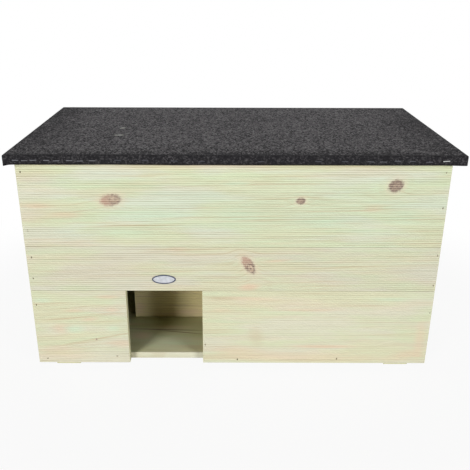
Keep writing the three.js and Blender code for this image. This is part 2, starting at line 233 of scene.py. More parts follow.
class Recipe:
    """The node tree of one material, with short calls for the nodes that the finishes share."""

    def __init__(self, name):
        """Starts a material on the coordinates of the object."""
        self.material = bpy.data.materials.new(name)
        self.material.use_nodes = True
        self.tree = self.material.node_tree
        self.shader = self.tree.nodes["Principled BSDF"]
        self.shader.inputs["Specular IOR Level"].default_value = PLAIN_GLOSS
        self.object = self.tree.nodes.new("ShaderNodeTexCoord").outputs["Object"]
        parts = self.node("ShaderNodeSeparateXYZ", (self.object,))
        self.place = {axis: parts.outputs[axis] for axis in "XYZ"}

    def feed(self, socket, value):
        """Links a socket, or sets its value."""
        if isinstance(value, bpy.types.NodeSocket):
            self.tree.links.new(value, socket)
        elif socket.type == "RGBA":
            socket.default_value = (*value, 1)
        else:
            socket.default_value = value

    def node(self, kind, values, **settings):
        """A node with its first inputs fed in order."""
        made = self.tree.nodes.new(kind)
        for name, setting in settings.items():
            setattr(made, name, setting)
        for socket, value in zip(made.inputs, values):
            self.feed(socket, value)
        return made

    def math(self, operation, *values):
        """A sum of any kind."""
        return self.node("ShaderNodeMath", values, operation=operation).outputs[0]

    def plus(self, first, second):
        """Two values added."""
        return self.math("ADD", first, second)

    def minus(self, first, second):
        """The first value without the second."""
        return self.math("SUBTRACT", first, second)

    def times(self, first, second):
        """Two values multiplied."""
        return self.math("MULTIPLY", first, second)

    def times_plus(self, value, factor, added):
        """A value times a factor, and another value added."""
        return self.math("MULTIPLY_ADD", value, factor, added)

    def spread(self, value, width):
        """Noise that lay between 0 and 1, spread to a width about 0."""
        return self.times_plus(value, width, -width / 2)

    def smooth(self, value, low, high, start=0.0, end=1.0):
        """Maps low..high to start..end with soft ends."""
        return self.node(
            "ShaderNodeMapRange", (value, low, high, start, end), interpolation_type="SMOOTHSTEP"
        ).outputs[0]

    def vector(self, x, y, z):
        """A vector of three values."""
        return self.node("ShaderNodeCombineXYZ", (x, y, z)).outputs[0]

    def channel(self, tone, index):
        """One of a colour's three channels."""
        return self.node("ShaderNodeSeparateColor", (tone,)).outputs[index]

    def noise(self, vector, scale=1.0, detail=2.0, roughness=0.5):
        """Soft noise between 0 and 1."""
        made = self.tree.nodes.new("ShaderNodeTexNoise")
        self.feed(made.inputs["Vector"], vector)
        self.feed(made.inputs["Scale"], scale)
        self.feed(made.inputs["Detail"], detail)
        self.feed(made.inputs["Roughness"], roughness)
        return made.outputs["Fac"]

    def cells(self, vector, scale, output):
        """Cells round scattered points: their distance or their colours."""
        made = self.tree.nodes.new("ShaderNodeTexVoronoi")
        self.feed(made.inputs["Vector"], vector)
        self.feed(made.inputs["Scale"], scale)
        return made.outputs[output]

    def mix(self, factor, first, second, blend="MIX"):
        """Two colours mixed."""
        made = self.tree.nodes.new("ShaderNodeMix")
        made.data_type = "RGBA"
        made.blend_type = blend
        self.feed(made.inputs[0], factor)
        self.feed(made.inputs[6], first)
        self.feed(made.inputs[7], second)
        return made.outputs[2]

    def attribute(self, name):
        """A value that the mesh carries."""
        made = self.tree.nodes.new("ShaderNodeAttribute")
        made.attribute_name = name
        return made.outputs["Fac"]

    def bump(self, height, distance, strength=1.0):
        """Feeds the shader's normal with a height."""
        made = self.tree.nodes.new("ShaderNodeBump")
        self.feed(made.inputs["Height"], height)
        self.feed(made.inputs["Distance"], distance)
        self.feed(made.inputs["Strength"], strength)
        self.tree.links.new(made.outputs["Normal"], self.shader.inputs["Normal"])

    def finish(self, tone, roughness, metallic=0.0):
        """Feeds the shader, and gives the material back."""
        self.feed(self.shader.inputs["Base Color"], tone)
        self.feed(self.shader.inputs["Roughness"], roughness)
        self.shader.inputs["Metallic"].default_value = metallic
        return self.material


# A board's cut from its log: the pith's place across and behind the face, its slope along the board, the
# spacing of the rings, how green it is, how dark its grooves are painted with shade and dust, and a number
# that picks another stretch of every pattern
Cut = namedtuple("Cut", "pith_across pith_behind slope ring green dirt seed")

# A knot: its middle from the middle of the house and above the ground, its half length and half height, its
# turn, how dark it is, how pale its flecks are, how far its first end fades into the wood, and how far it
# bends the grain
Knot = namedtuple("Knot", "along up half_length half_height turn dark pale fade bend")

# A stain: its middle from the middle of the house and above the ground, its half length and half height, its
# turn, how strong it is, and which of the wood's tones it has. On the floor, height is depth.
Stain = namedtuple("Stain", "along up half_length half_height turn strength tone")

# A pattern in the wood: how often it changes in a metre along and across the grain, its detail, its
# roughness, and the range of its noise that runs from its start to its end
Pattern = namedtuple("Pattern", "along across detail rough low high start end")
RINGS_CLEAR = Pattern(4, 26, 2, 0.5, 0.36, 0.66, 0.2, 1.0)
WARM_WOOD = Pattern(7, 55, 3, 0.5, 0.42, 0.64, 0.0, 1.0)
PRESERVED_WOOD = Pattern(8, 42, 4, 0.5, 0.38, 0.60, 0.0, 1.0)
# Where the painted groove shade breaks off, and where dust makes it tan rather than green
GROOVE_BREAKS = Pattern(9, 290, 3, 0.65, 0.32, 0.70, 0.25, 1.0)
GROOVE_TANS = Pattern(4.2, 150, 3, 0.6, 0.40, 0.62, 0.0, 1.0)

# Plain noise in the wood, as the first numbers of a pattern: the bends of the grain, the ragged edges of
# stains, and the fibre. Then how often the streaks change along and across.
LONG_BEND_NOISE = (2.1, 5)
SHORT_BEND_NOISE = (11, 34, 3, 0.6)
STAIN_RAG_NOISE = (14, 120, 3, 0.6)
FIBRE_NOISE = (26, 900, 3, 0.7)
STREAK_ALONG = 4.5
STREAK_ACROSS = 430

# Widths of what is spread about 0: the long and the short bends of the grain, and the ragged edges of stains,
# knots and scuffs
LONG_BEND = 20 * MM
SHORT_BEND = 4 * MM
STAIN_RAGS = 1.2
KNOT_RAGS = 0.9

# Ranges, as low, high and the values at both where they aren't 0 and 1: over one ring, over the noise of
# streaks and fibre, over a stain, and over a knot from its middle at 0 to its rim at 1
RING_RISE = (0.25, 0.9)
RING_FALL = (0.93, 1.0, 1.0, 0.0)
STREAKS = (0.53, 0.68)
DARK_FIBRE = (0.3, 0.7, 0.14, 0.0)
FIBRE_ROUGHNESS = (0.2, 0.8, 0.88, 0.72)
STAIN_REACH = (0.1, 1.5)
KNOT_HALO = (0.9, 2.0, 0.45, 0.0)
KNOT_CORE = (0.75, 1.2, 0.95, 0.0)
KNOT_MOTTLES = (0.3, 0.7, 0.30, -0.30)
KNOT_RIM = (0.45, 0.85)
KNOT_HEART = (0.8, 1.3, 1.0, 0.0)
KNOT_SLITS = (0.52, 0.64)
KNOT_FADE = (-0.7, 0.3)
# Over a reed, from its crest at 0: the painted highlight on a knot's crests
KNOT_CREST_HIGHLIGHT = (0.0, 0.4, 0.30, 0.0)

# Noise in a knot, as its scale, detail and roughness: its ragged edge, its mottles and its slits, which are
# drawn out along the grain by a factor
KNOT_RAG_NOISE = (380, 3, 0.7)
MOTTLE_NOISE = (360, 2, 0.6)
SLIT_NOISE = (560, 1)
SLIT_SQUEEZE = 0.45

# How far beyond its own half length and half height a knot pushes the grain aside, where its heart lies along
# its half length, the heart's size as shares of the knot's, and how ragged the heart is
DENT_SPREAD = (2.6, 1.9)
HEART_SHIFT = 0.38
HEART_SIZE = (0.6, 0.75)
HEART_RAGS = 0.3

# Strengths: the warm wood, a streak away from warm wood, the dark rim, the rings and the slits of a knot, and
# the tone of the end grain. Then how fast a knot's rings follow each other, and how high the fibre stands.
WARM_SHARE = 0.22
COOL_STREAK_SHARE = 0.4
KNOT_RIM_SHARE = 0.35
KNOT_RING_SHARE = 0.55
KNOT_SLIT_SHARE = 0.6
END_GRAIN_SHARE = 0.9
KNOT_RING_TURNS = 7.8
FIBRE_BUMP = 0.07 * MM


def turned_axes(r, first, second, middle, turn):
    """Two coordinates about a middle, turned by an angle."""
    cos, sin = math.cos(turn), math.sin(turn)
    u, v = r.minus(first, middle[0]), r.minus(second, middle[1])
    return r.times_plus(u, cos, r.times(v, sin)), r.times_plus(v, cos, r.times(u, -sin))


def root_of_squares(r, first, second):
    """How long a step is whose two parts are known."""
    return r.math("SQRT", r.times_plus(first, first, r.times(second, second)))


def reach(r, u, v, width, height):
    """How far a point lies from the middle of an ellipse: 1 on its rim."""
    return root_of_squares(r, r.math("DIVIDE", u, width), r.math("DIVIDE", v, height))


def knot_dent(r, u, v, knot):
    """How far a knot pushes the grain aside at a point."""
    far = reach(r, u, v, knot.half_length * DENT_SPREAD[0], knot.half_height * DENT_SPREAD[1])
    return r.times(r.math("EXPONENT", r.times(r.times(far, far), -1)), knot.bend)


def knotted(r, tone, u, v, knot):
    """Paints one knot: a pale halo, a mottled core with a ragged dark rim, rings, slits, a faded end and
    painted highlights on the reed crests.
    """
    wood = bpy.context.scene.house_wood
    ragged = r.spread(r.noise(r.vector(u, v, knot.bend), *KNOT_RAG_NOISE), KNOT_RAGS)
    near = r.plus(reach(r, u, v, knot.half_length, knot.half_height), ragged)
    tone = r.mix(r.smooth(near, *KNOT_HALO), tone, wood.pale_tone)
    spots = r.smooth(r.noise(r.vector(u, v, knot.turn), *MOTTLE_NOISE), *KNOT_MOTTLES)
    rim = r.smooth(near, *KNOT_RIM, 0.0, KNOT_RIM_SHARE * knot.dark)
    off = r.plus(u, -HEART_SHIFT * knot.half_length)
    heart_size = (HEART_SIZE[0] * knot.half_length, HEART_SIZE[1] * knot.half_height)
    heart = r.times_plus(ragged, HEART_RAGS, reach(r, off, v, *heart_size))
    rings = r.times(r.math("COSINE", r.times(heart, KNOT_RING_TURNS)), r.smooth(heart, *KNOT_HEART))
    shade = r.plus(r.plus(spots, rim), knot.dark)
    shade = r.times_plus(rings, KNOT_RING_SHARE * knot.pale, shade)
    core = r.mix(shade, wood.knot_tone, wood.bark_tone)
    slits = r.noise(r.vector(r.times(u, SLIT_SQUEEZE), v, knot.dark), *SLIT_NOISE)
    core = r.mix(r.smooth(slits, *KNOT_SLITS, 0.0, KNOT_SLIT_SHARE * knot.pale), core, wood.pale_tone)
    faded = r.smooth(r.math("DIVIDE", u, knot.half_length), *KNOT_FADE, knot.fade, 0.0)
    core = r.mix(faded, core, wood.flush_tone)
    # Painted highlight: the knot is paler on the reed crests
    core = r.mix(r.smooth(r.attribute("groove"), *KNOT_CREST_HIGHLIGHT), core, wood.pale_tone)
    return r.mix(r.smooth(near, *KNOT_CORE), tone, core)


def stained(r, tone, u, v, stain, ragged):
    """Paints one stain, with a ragged edge."""
    near = r.plus(reach(r, u, v, stain.half_length, stain.half_height), ragged)
    wanted = getattr(bpy.context.scene.house_wood, f"{stain.tone}_tone")
    return r.mix(r.smooth(near, *STAIN_REACH, stain.strength, 0.0), tone, wanted)


def ring_lines(r, grain, depth, bent, cut):
    """The latewood lines that a board cuts out of the log's rings."""
    from_pith = root_of_squares(r, r.minus(grain, cut.pith_across), r.plus(depth, cut.pith_behind))
    phase = r.math("FRACT", r.math("DIVIDE", r.plus(from_pith, bent), cut.ring))
    return r.times(r.smooth(phase, *RING_RISE), r.smooth(phase, *RING_FALL))


def pine(name, axes, middle, cut, base, knots=(), stains=()):
    """Pine with a green cast: rings bent round the knots, tan streaks, stains, fibre, and grooves darkened by
    painted shade and dust.
    """
    wood = bpy.context.scene.house_wood
    r = Recipe(name)
    along, across, depth = (r.minus(r.place[axis], at) for axis, at in zip(axes, middle))
    face = [r.place[axis] for axis in axes[:2]]

    def log_noise(scale_along, scale_across, detail=3, rough=0.5):
        """Noise that is stretched along the grain."""
        place = r.vector(
            r.times_plus(along, scale_along, cut.seed),
            r.times_plus(across, scale_across, cut.seed),
            r.times(depth, scale_across),
        )
        return r.noise(place, 1, detail, rough)

    def drawn(pattern):
        """One of the wood's patterns, on this board's stretch of the log."""
        noise_found = log_noise(pattern.along, pattern.across, pattern.detail, pattern.rough)
        return r.smooth(noise_found, pattern.low, pattern.high, pattern.start, pattern.end)

    long_bend = r.spread(log_noise(*LONG_BEND_NOISE), LONG_BEND)
    bent = r.plus(long_bend, r.spread(log_noise(*SHORT_BEND_NOISE), SHORT_BEND))
    turned_knots = [(knot, *turned_axes(r, *face, (knot.along, knot.up), knot.turn)) for knot in knots]
    for knot, u, v in turned_knots:
        bent = r.plus(bent, knot_dent(r, u, v, knot))
    grain = r.times_plus(along, -cut.slope, across)
    rings = r.times(ring_lines(r, grain, depth, bent, cut), drawn(RINGS_CLEAR))
    streak_across = r.times(r.plus(grain, bent), STREAK_ACROSS)
    streak_place = r.vector(r.times_plus(along, STREAK_ALONG, cut.seed), streak_across, 0.0)
    streak = r.smooth(r.noise(streak_place, 1, 2), *STREAKS)
    warm = drawn(WARM_WOOD)
    fibre = log_noise(*FIBRE_NOISE)

    tone = r.mix(r.times(drawn(PRESERVED_WOOD), cut.green), base, wood.cast_tone)
    tone = r.mix(r.times(warm, WARM_SHARE), tone, wood.blush_tone)
    ragged = r.spread(log_noise(*STAIN_RAG_NOISE), STAIN_RAGS)
    for stain in stains:
        u, v = turned_axes(r, *face, (stain.along, stain.up), stain.turn)
        tone = stained(r, tone, u, v, stain, ragged)
    tone = r.mix(r.times(rings, wood.ring_strength), tone, wood.late_tone)
    streaks = r.times(r.times_plus(warm, 1 - COOL_STREAK_SHARE, COOL_STREAK_SHARE), streak)
    tone = r.mix(r.times(streaks, wood.streak_strength), tone, wood.streak_tone)
    tone = r.mix(r.smooth(fibre, *DARK_FIBRE), tone, wood.late_tone)
    for knot, u, v in turned_knots:
        tone = knotted(r, tone, u, v, knot)
    # Painted shade darkens the grooves, with some dust and preservative in them
    groove = r.smooth(r.attribute("groove"), 0.0, wood.groove_width, 0.0, wood.groove_shade * cut.dirt)
    groove_shade_tone = r.mix(drawn(GROOVE_TANS), wood.groove_green_shade, wood.groove_tan_shade)
    tone = r.mix(r.times(groove, drawn(GROOVE_BREAKS)), tone, groove_shade_tone, "MULTIPLY")
    tone = r.mix(r.times(r.attribute("end_grain"), END_GRAIN_SHARE), tone, wood.end_tone)
    r.bump(fibre, FIBRE_BUMP)
    return r.finish(tone, r.smooth(fibre, *FIBRE_ROUGHNESS))


# The felt: its gloss and roughness, the factor on Y that draws a clump out from front to rear, how many
# granules a clump is wide, and how often the patches and broad drifts change in a metre. Then noise, as its
# scale and detail: the ragged edges of the folds and of the scuffs, and the fine relief.
FELT_GLOSS = 0.12
FELT_ROUGHNESS = 0.93
CLUMP_SQUEEZE = 0.6
CLUMP_GRANULES = 2.3
PATCH_NOISE = (60, 4, 0.6)
DRIFT_NOISE = (6, 2)
FOLD_NOISE = (260, 3)
SCUFF_NOISE = (500, 2)
RELIEF_NOISE = (900, 2)

# How much single granules, clumps, patches and drifts add to the felt's brightness, and where it starts
SINGLE_SHARE = 0.66
CLUMP_SHARE = 0.24
PATCH_SHARE = 0.20
DRIFT_SHARE = 0.20
LEVEL_START = -0.10

# Ranges on the felt: brightness, the gap between granules, the hem above its lower edge that is bare and
# painted with shade, and a scuff's reach. Then where the thinned granules and painted shade start inside an
# edge, how ragged that line is, and how high the granules stand.
PALE_LEVEL = (0.16, 0.84)
GRANULE_GAP = (0.35, 0.75, 0.0, 0.5)
BARE_SHADED_HEM = (0.8 * MM, 2.6 * MM, 0.7, 0.0)
SCUFF_REACH = (0.7, 1.1, 1.0, 0.0)
FOLD_START = 1.5 * MM
FOLD_RAGS = 4 * MM
GRANULE_BUMP = 0.5 * MM


def lost_granules_and_shade(r, from_side, from_end, roof):
    """How much the felt darkens on the flaps and just inside the edges of the top: fewer granules, and
    painted shade.
    """
    ragged = r.spread(r.noise(r.object, *FOLD_NOISE), FOLD_RAGS)
    inside = r.plus(r.math("MINIMUM", from_side, r.times(from_end, 0.5)), ragged)
    return r.smooth(inside, FOLD_START, roof.fold_reach, roof.fold_shade, 0.0)


def rubbed_share(r):
    """Where the scuffs have bared the felt."""
    rubbed = 0.0
    for scuff in SCUFFS:
        u, v = turned_axes(r, r.place["X"], r.place["Y"], (scuff.across, scuff.along), scuff.turn)
        ragged = r.spread(r.noise(r.object, *SCUFF_NOISE), KNOT_RAGS)
        near = r.plus(reach(r, u, v, scuff.half_length, scuff.half_width), ragged)
        rubbed = r.math("MAXIMUM", rubbed, r.smooth(near, *SCUFF_REACH))
    return rubbed


def felt_finish():
    """Bitumen felt of granules in many tones, with fewer granules and painted shade on its folds, and a bare,
    shaded hem.
    """
    roof = bpy.context.scene.house_roof
    low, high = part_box("roof_felt")
    r = Recipe("mineral_felt")
    r.shader.inputs["Specular IOR Level"].default_value = FELT_GLOSS
    grain = 1 / roof.granule
    squeezed = r.vector(r.place["X"], r.times(r.place["Y"], CLUMP_SQUEEZE), r.place["Z"])
    single = r.channel(r.cells(r.object, grain, "Color"), 0)
    clump = r.channel(r.cells(squeezed, grain / CLUMP_GRANULES, "Color"), 1)
    gap = r.cells(r.object, grain, "Distance")
    level = LEVEL_START
    for pattern, added in (
        (clump, CLUMP_SHARE), (single, SINGLE_SHARE), (r.noise(r.object, *DRIFT_NOISE), DRIFT_SHARE),
        (r.noise(squeezed, *PATCH_NOISE), PATCH_SHARE),
    ):
        level = r.times_plus(pattern, added, level)
    from_side = r.minus(high.x, r.math("ABSOLUTE", r.place["X"]))
    from_end = r.minus(high.y, r.math("ABSOLUTE", r.place["Y"]))
    from_front = r.minus(r.place["Y"], low.y)
    # The felt darkens towards its side edges and its front
    nearest = r.math("MINIMUM", from_side, r.times(from_front, 2))
    level = r.plus(level, r.smooth(nearest, 0.0, roof.edge_dark_reach, -roof.edge_darkening, 0.0))
    # The felt darkens on its flaps and just inside its edges: fewer granules, and painted shade
    folded = lost_granules_and_shade(r, from_side, from_end, roof)
    pale = r.times(r.math("POWER", r.smooth(level, *PALE_LEVEL), 2.0), r.minus(1, folded))
    tone = r.mix(pale, roof.dark_tone, roof.pale_tone)
    bitumen = tuple(0.3 * part for part in roof.dark_tone)
    tone = r.mix(r.smooth(gap, *GRANULE_GAP), tone, bitumen)
    # The hem: bare bitumen at the cut edge, and painted shade beneath it
    tone = r.mix(r.smooth(r.minus(r.place["Z"], low.z), *BARE_SHADED_HEM), tone, bitumen)
    tone = r.mix(rubbed_share(r), tone, roof.scuff_tone)
    height = r.times_plus(single, 0.5, r.minus(1, gap))
    height = r.times_plus(r.noise(r.object, *RELIEF_NOISE), 0.3, height)
    r.bump(height, GRANULE_BUMP, r.times_plus(folded, -0.7, 0.9))
    return r.finish(tone, FELT_ROUGHNESS)


# Plywood: how often its wide grain changes in a metre along and across, how many loops it draws, how often
# its fine grain changes, the thickness of one ply, and how strongly both kinds of grain show
WIDE_ALONG, WIDE_ACROSS, WIDE_LOOPS = 2.2, 30, 9
FINE_ALONG, FINE_ACROSS = 30, 900
PLY_THICKNESS = 4 * MM
WIDE_GRAIN_SHARE = 0.55
FINE_GRAIN = (0.4, 0.7, 0.0, 0.25)
PLY_BUMP = 0.15 * MM


def ply_finish():
    """Plywood: a face veneer with loose wide grain, and dark and pale plies on its edges."""
    roof = bpy.context.scene.house_roof
    low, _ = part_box("roof_panel")
    pale, dark = roof.ply_tone, roof.ply_dark
    r = Recipe("roof_plywood")
    drawn = r.vector(r.times(r.place["X"], WIDE_ALONG), r.times(r.place["Y"], WIDE_ACROSS), r.place["Z"])
    loops = r.math("FRACT", r.times(r.noise(drawn, 1, 3, 0.55), WIDE_LOOPS))
    grain = r.times(r.smooth(loops, 0.2, 0.85), r.smooth(loops, 0.9, 1.0, 1.0, 0.0))
    fine_place = r.vector(r.times(r.place["X"], FINE_ALONG), r.times(r.place["Y"], FINE_ACROSS), 0.0)
    fine = r.noise(fine_place, 1, 2)
    tone = r.mix(r.times(grain, WIDE_GRAIN_SHARE), pale, dark)
    tone = r.mix(r.smooth(fine, *FINE_GRAIN), tone, dark)
    geometry = r.tree.nodes.new("ShaderNodeNewGeometry")
    facing = r.node("ShaderNodeSeparateXYZ", (geometry.outputs["Normal"],)).outputs["Z"]
    edge = r.smooth(r.math("ABSOLUTE", facing), 0.3, 0.7, 1.0, 0.0)
    plies = r.math("FRACT", r.math("DIVIDE", r.minus(r.place["Z"], low.z), PLY_THICKNESS))
    tone = r.mix(edge, tone, r.mix(r.smooth(plies, 0.46, 0.54), pale, dark))
    r.bump(r.times_plus(grain, 0.4, fine), PLY_BUMP)
    return r.finish(tone, r.smooth(fine, 0.2, 0.8, 0.85, 0.7))


# Metal: the noise of its smudges and of its specks, where the smudges run from bright to dull, how much of
# the tone a smudge keeps, how rough tarnish is, and the height of the specks
SMUDGE_NOISE = (160, 4, 0.6)
SPECK_NOISE = (1400, 2)
SMUDGE = (0.3, 0.7)
SMUDGE_KEPT = 0.8
TARNISH_ROUGHNESS = 0.85
SPECK_BUMP = 0.04 * MM


def metal_finish(name, tone, rough_low, rough_high, metallic=1.0, dull=0.25, tarnish_tone=None):
    """Metal with smudges: the tone and the gloss both wander, and tarnished copies are dull and dark."""
    r = Recipe(name)
    smudge = r.noise(r.object, *SMUDGE_NOISE)
    dark = tuple((1 - dull) * part * SMUDGE_KEPT for part in tone)
    shaded = r.mix(r.smooth(smudge, *SMUDGE), tone, dark)
    rough = r.smooth(smudge, *SMUDGE, rough_low, rough_high)
    if tarnish_tone is not None:
        tarnish = r.attribute("tarnish")
        shaded = r.mix(tarnish, shaded, tarnish_tone)
        rough = r.math("MAXIMUM", rough, r.times(tarnish, TARNISH_ROUGHNESS))
    r.bump(r.noise(r.object, *SPECK_NOISE), SPECK_BUMP, 0.5)
    return r.finish(shaded, rough, metallic)


# Mesh helpers

def rotation(turn):
    """A turn about the upright axis."""
    return Matrix.Rotation(turn, 4, "Z")


def local_box(node, turn):
    """A node's lowest and highest corner once its wall is turned back to face the front."""
    low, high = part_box(node)
    ends = [rotation(-turn) @ low, rotation(-turn) @ high]
    return (
        Vector(min(end[i] for end in ends) for i in range(3)),
        Vector(max(end[i] for end in ends) for i in range(3)),
    )


def add_block(bm, low, high):
    """A block between two corners."""
    size = Vector(high) - Vector(low)
    matrix = Matrix.Translation((Vector(low) + Vector(high)) / 2) @ Matrix.Diagonal((*size, 1))
    return bmesh.ops.create_cube(bm, size=1, matrix=matrix)["verts"]


def edges_along(bm, axis, where=lambda edge: True):
    """The edges that run along one axis, where a test holds for them."""
    found = []
    for edge in bm.edges:
        run = edge.verts[1].co - edge.verts[0].co
        if run.length > 0 and abs(run[axis]) > 0.999 * run.length and where(edge):
            found.append(edge)
    return found


def mark_ends(bm, axis, low, high, reach):
    """Marks the faces that lie at the sawn ends of a board."""
    layer = bm.faces.layers.float.new("end_grain")
    for face in bm.faces:
        at = face.calc_center_median()[axis]
        at_end = at < low[axis] + reach or at > high[axis] - reach
        face[layer] = 1.0 if at_end and abs(face.normal[axis]) > 0.2 else 0.0


def finished_mesh(bm, name):
    """Turns a bmesh into a mesh."""
    mesh = bpy.data.meshes.new(name)
    bm.to_mesh(mesh)
    bm.free()
    return mesh


def linked(name, data):
    """A new object in the scene."""
    made = bpy.data.objects.new(name, data)
    bpy.context.scene.collection.objects.link(made)
    return made


def place_piece(bm, name, materials, body, replaced=(), smooth_angle=32):
    """Turns a bmesh into a finished piece that rides on a body."""
    mesh = finished_mesh(bm, name)
    for material in materials:
        mesh.materials.append(material)
    mesh.shade_smooth()
    mesh.set_sharp_from_angle(angle=math.radians(smooth_angle))
    piece = linked(name, mesh)
    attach(piece, body)
    if replaced:
        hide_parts(*replaced)
    return piece


def broken_edges(bm, edges, width, segments=2, clamped=False):
    """Rounds edges off by a width."""
    bmesh.ops.bevel(
        bm, geom=edges, offset=width, offset_type="OFFSET", affect="EDGES", segments=segments, profile=0.5,
        material=-1, clamp_overlap=clamped,
    )


def moved_face(items):
    """The face in the geometry that an extrusion or a spin gives back."""
    return next(item for item in items if isinstance(item, bmesh.types.BMFace))


def refined_copy(node, bevel_width, min_angle=40):
    """A copy of a node's mesh with its doubles merged, flat areas joined and its sharp edges broken."""
    bm = bmesh.new()
    bm.from_mesh(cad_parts[node].data)
    bmesh.ops.remove_doubles(bm, verts=bm.verts, dist=SAME_POINT)
    bmesh.ops.dissolve_limit(bm, angle_limit=math.radians(1), verts=bm.verts, edges=bm.edges)
    least = math.radians(min_angle)
    sharp = [edge for edge in bm.edges if edge.is_manifold and edge.calc_face_angle(0) > least]
    broken_edges(bm, sharp, bevel_width, clamped=True)
    return bm


# Boards

# Turn of each wall's reeded face about Z, from facing the front
TURNS = {
    "front": 0, "baffle": 0, "left": -QUARTER, "baffle_side": -QUARTER, "right": QUARTER, "rear": 2 * QUARTER,
}

# What shows from the front has cuts, knots and stains chosen to match the real boards, and the rest is drawn
# by lot
CHOSEN_CUTS = {
    "front_top_board": Cut(0.030, 0.085, 0.03, 0.0042, 0.70, 0.75, 3.1),
    "front_middle_board": Cut(-0.030, 0.060, 0.02, 0.0046, 0.55, 0.68, 11.7),
    "front_lower_left_board": Cut(0.052, 0.055, 0.09, 0.0052, 0.60, 0.46, 24.9),
    "front_lower_right_board": Cut(-0.020, 0.075, 0.01, 0.0050, 0.60, 0.38, 37.3),
}
CHOSEN_KNOTS = {
    "front_top_board": (
        Knot(-0.1632, 0.2642, 0.0143, 0.0084, 0.17, 0.52, 0.30, 0.9, -0.011),
        Knot(0.0899, 0.2637, 0.0060, 0.0048, 0.20, 0.70, 0.10, 0.0, -0.006),
        Knot(0.2141, 0.2848, 0.0104, 0.0084, 0.50, 0.80, 0.15, 0.0, -0.009),
    ),
    "front_middle_board": (Knot(0.0220, 0.1694, 0.0150, 0.0073, -1.02, 0.64, 0.80, 0.95, -0.010),),
    "front_lower_left_board": (Knot(-0.1981, 0.0494, 0.0015, 0.0013, 0, 0.60, 0.0, 0.0, -0.001),),
}
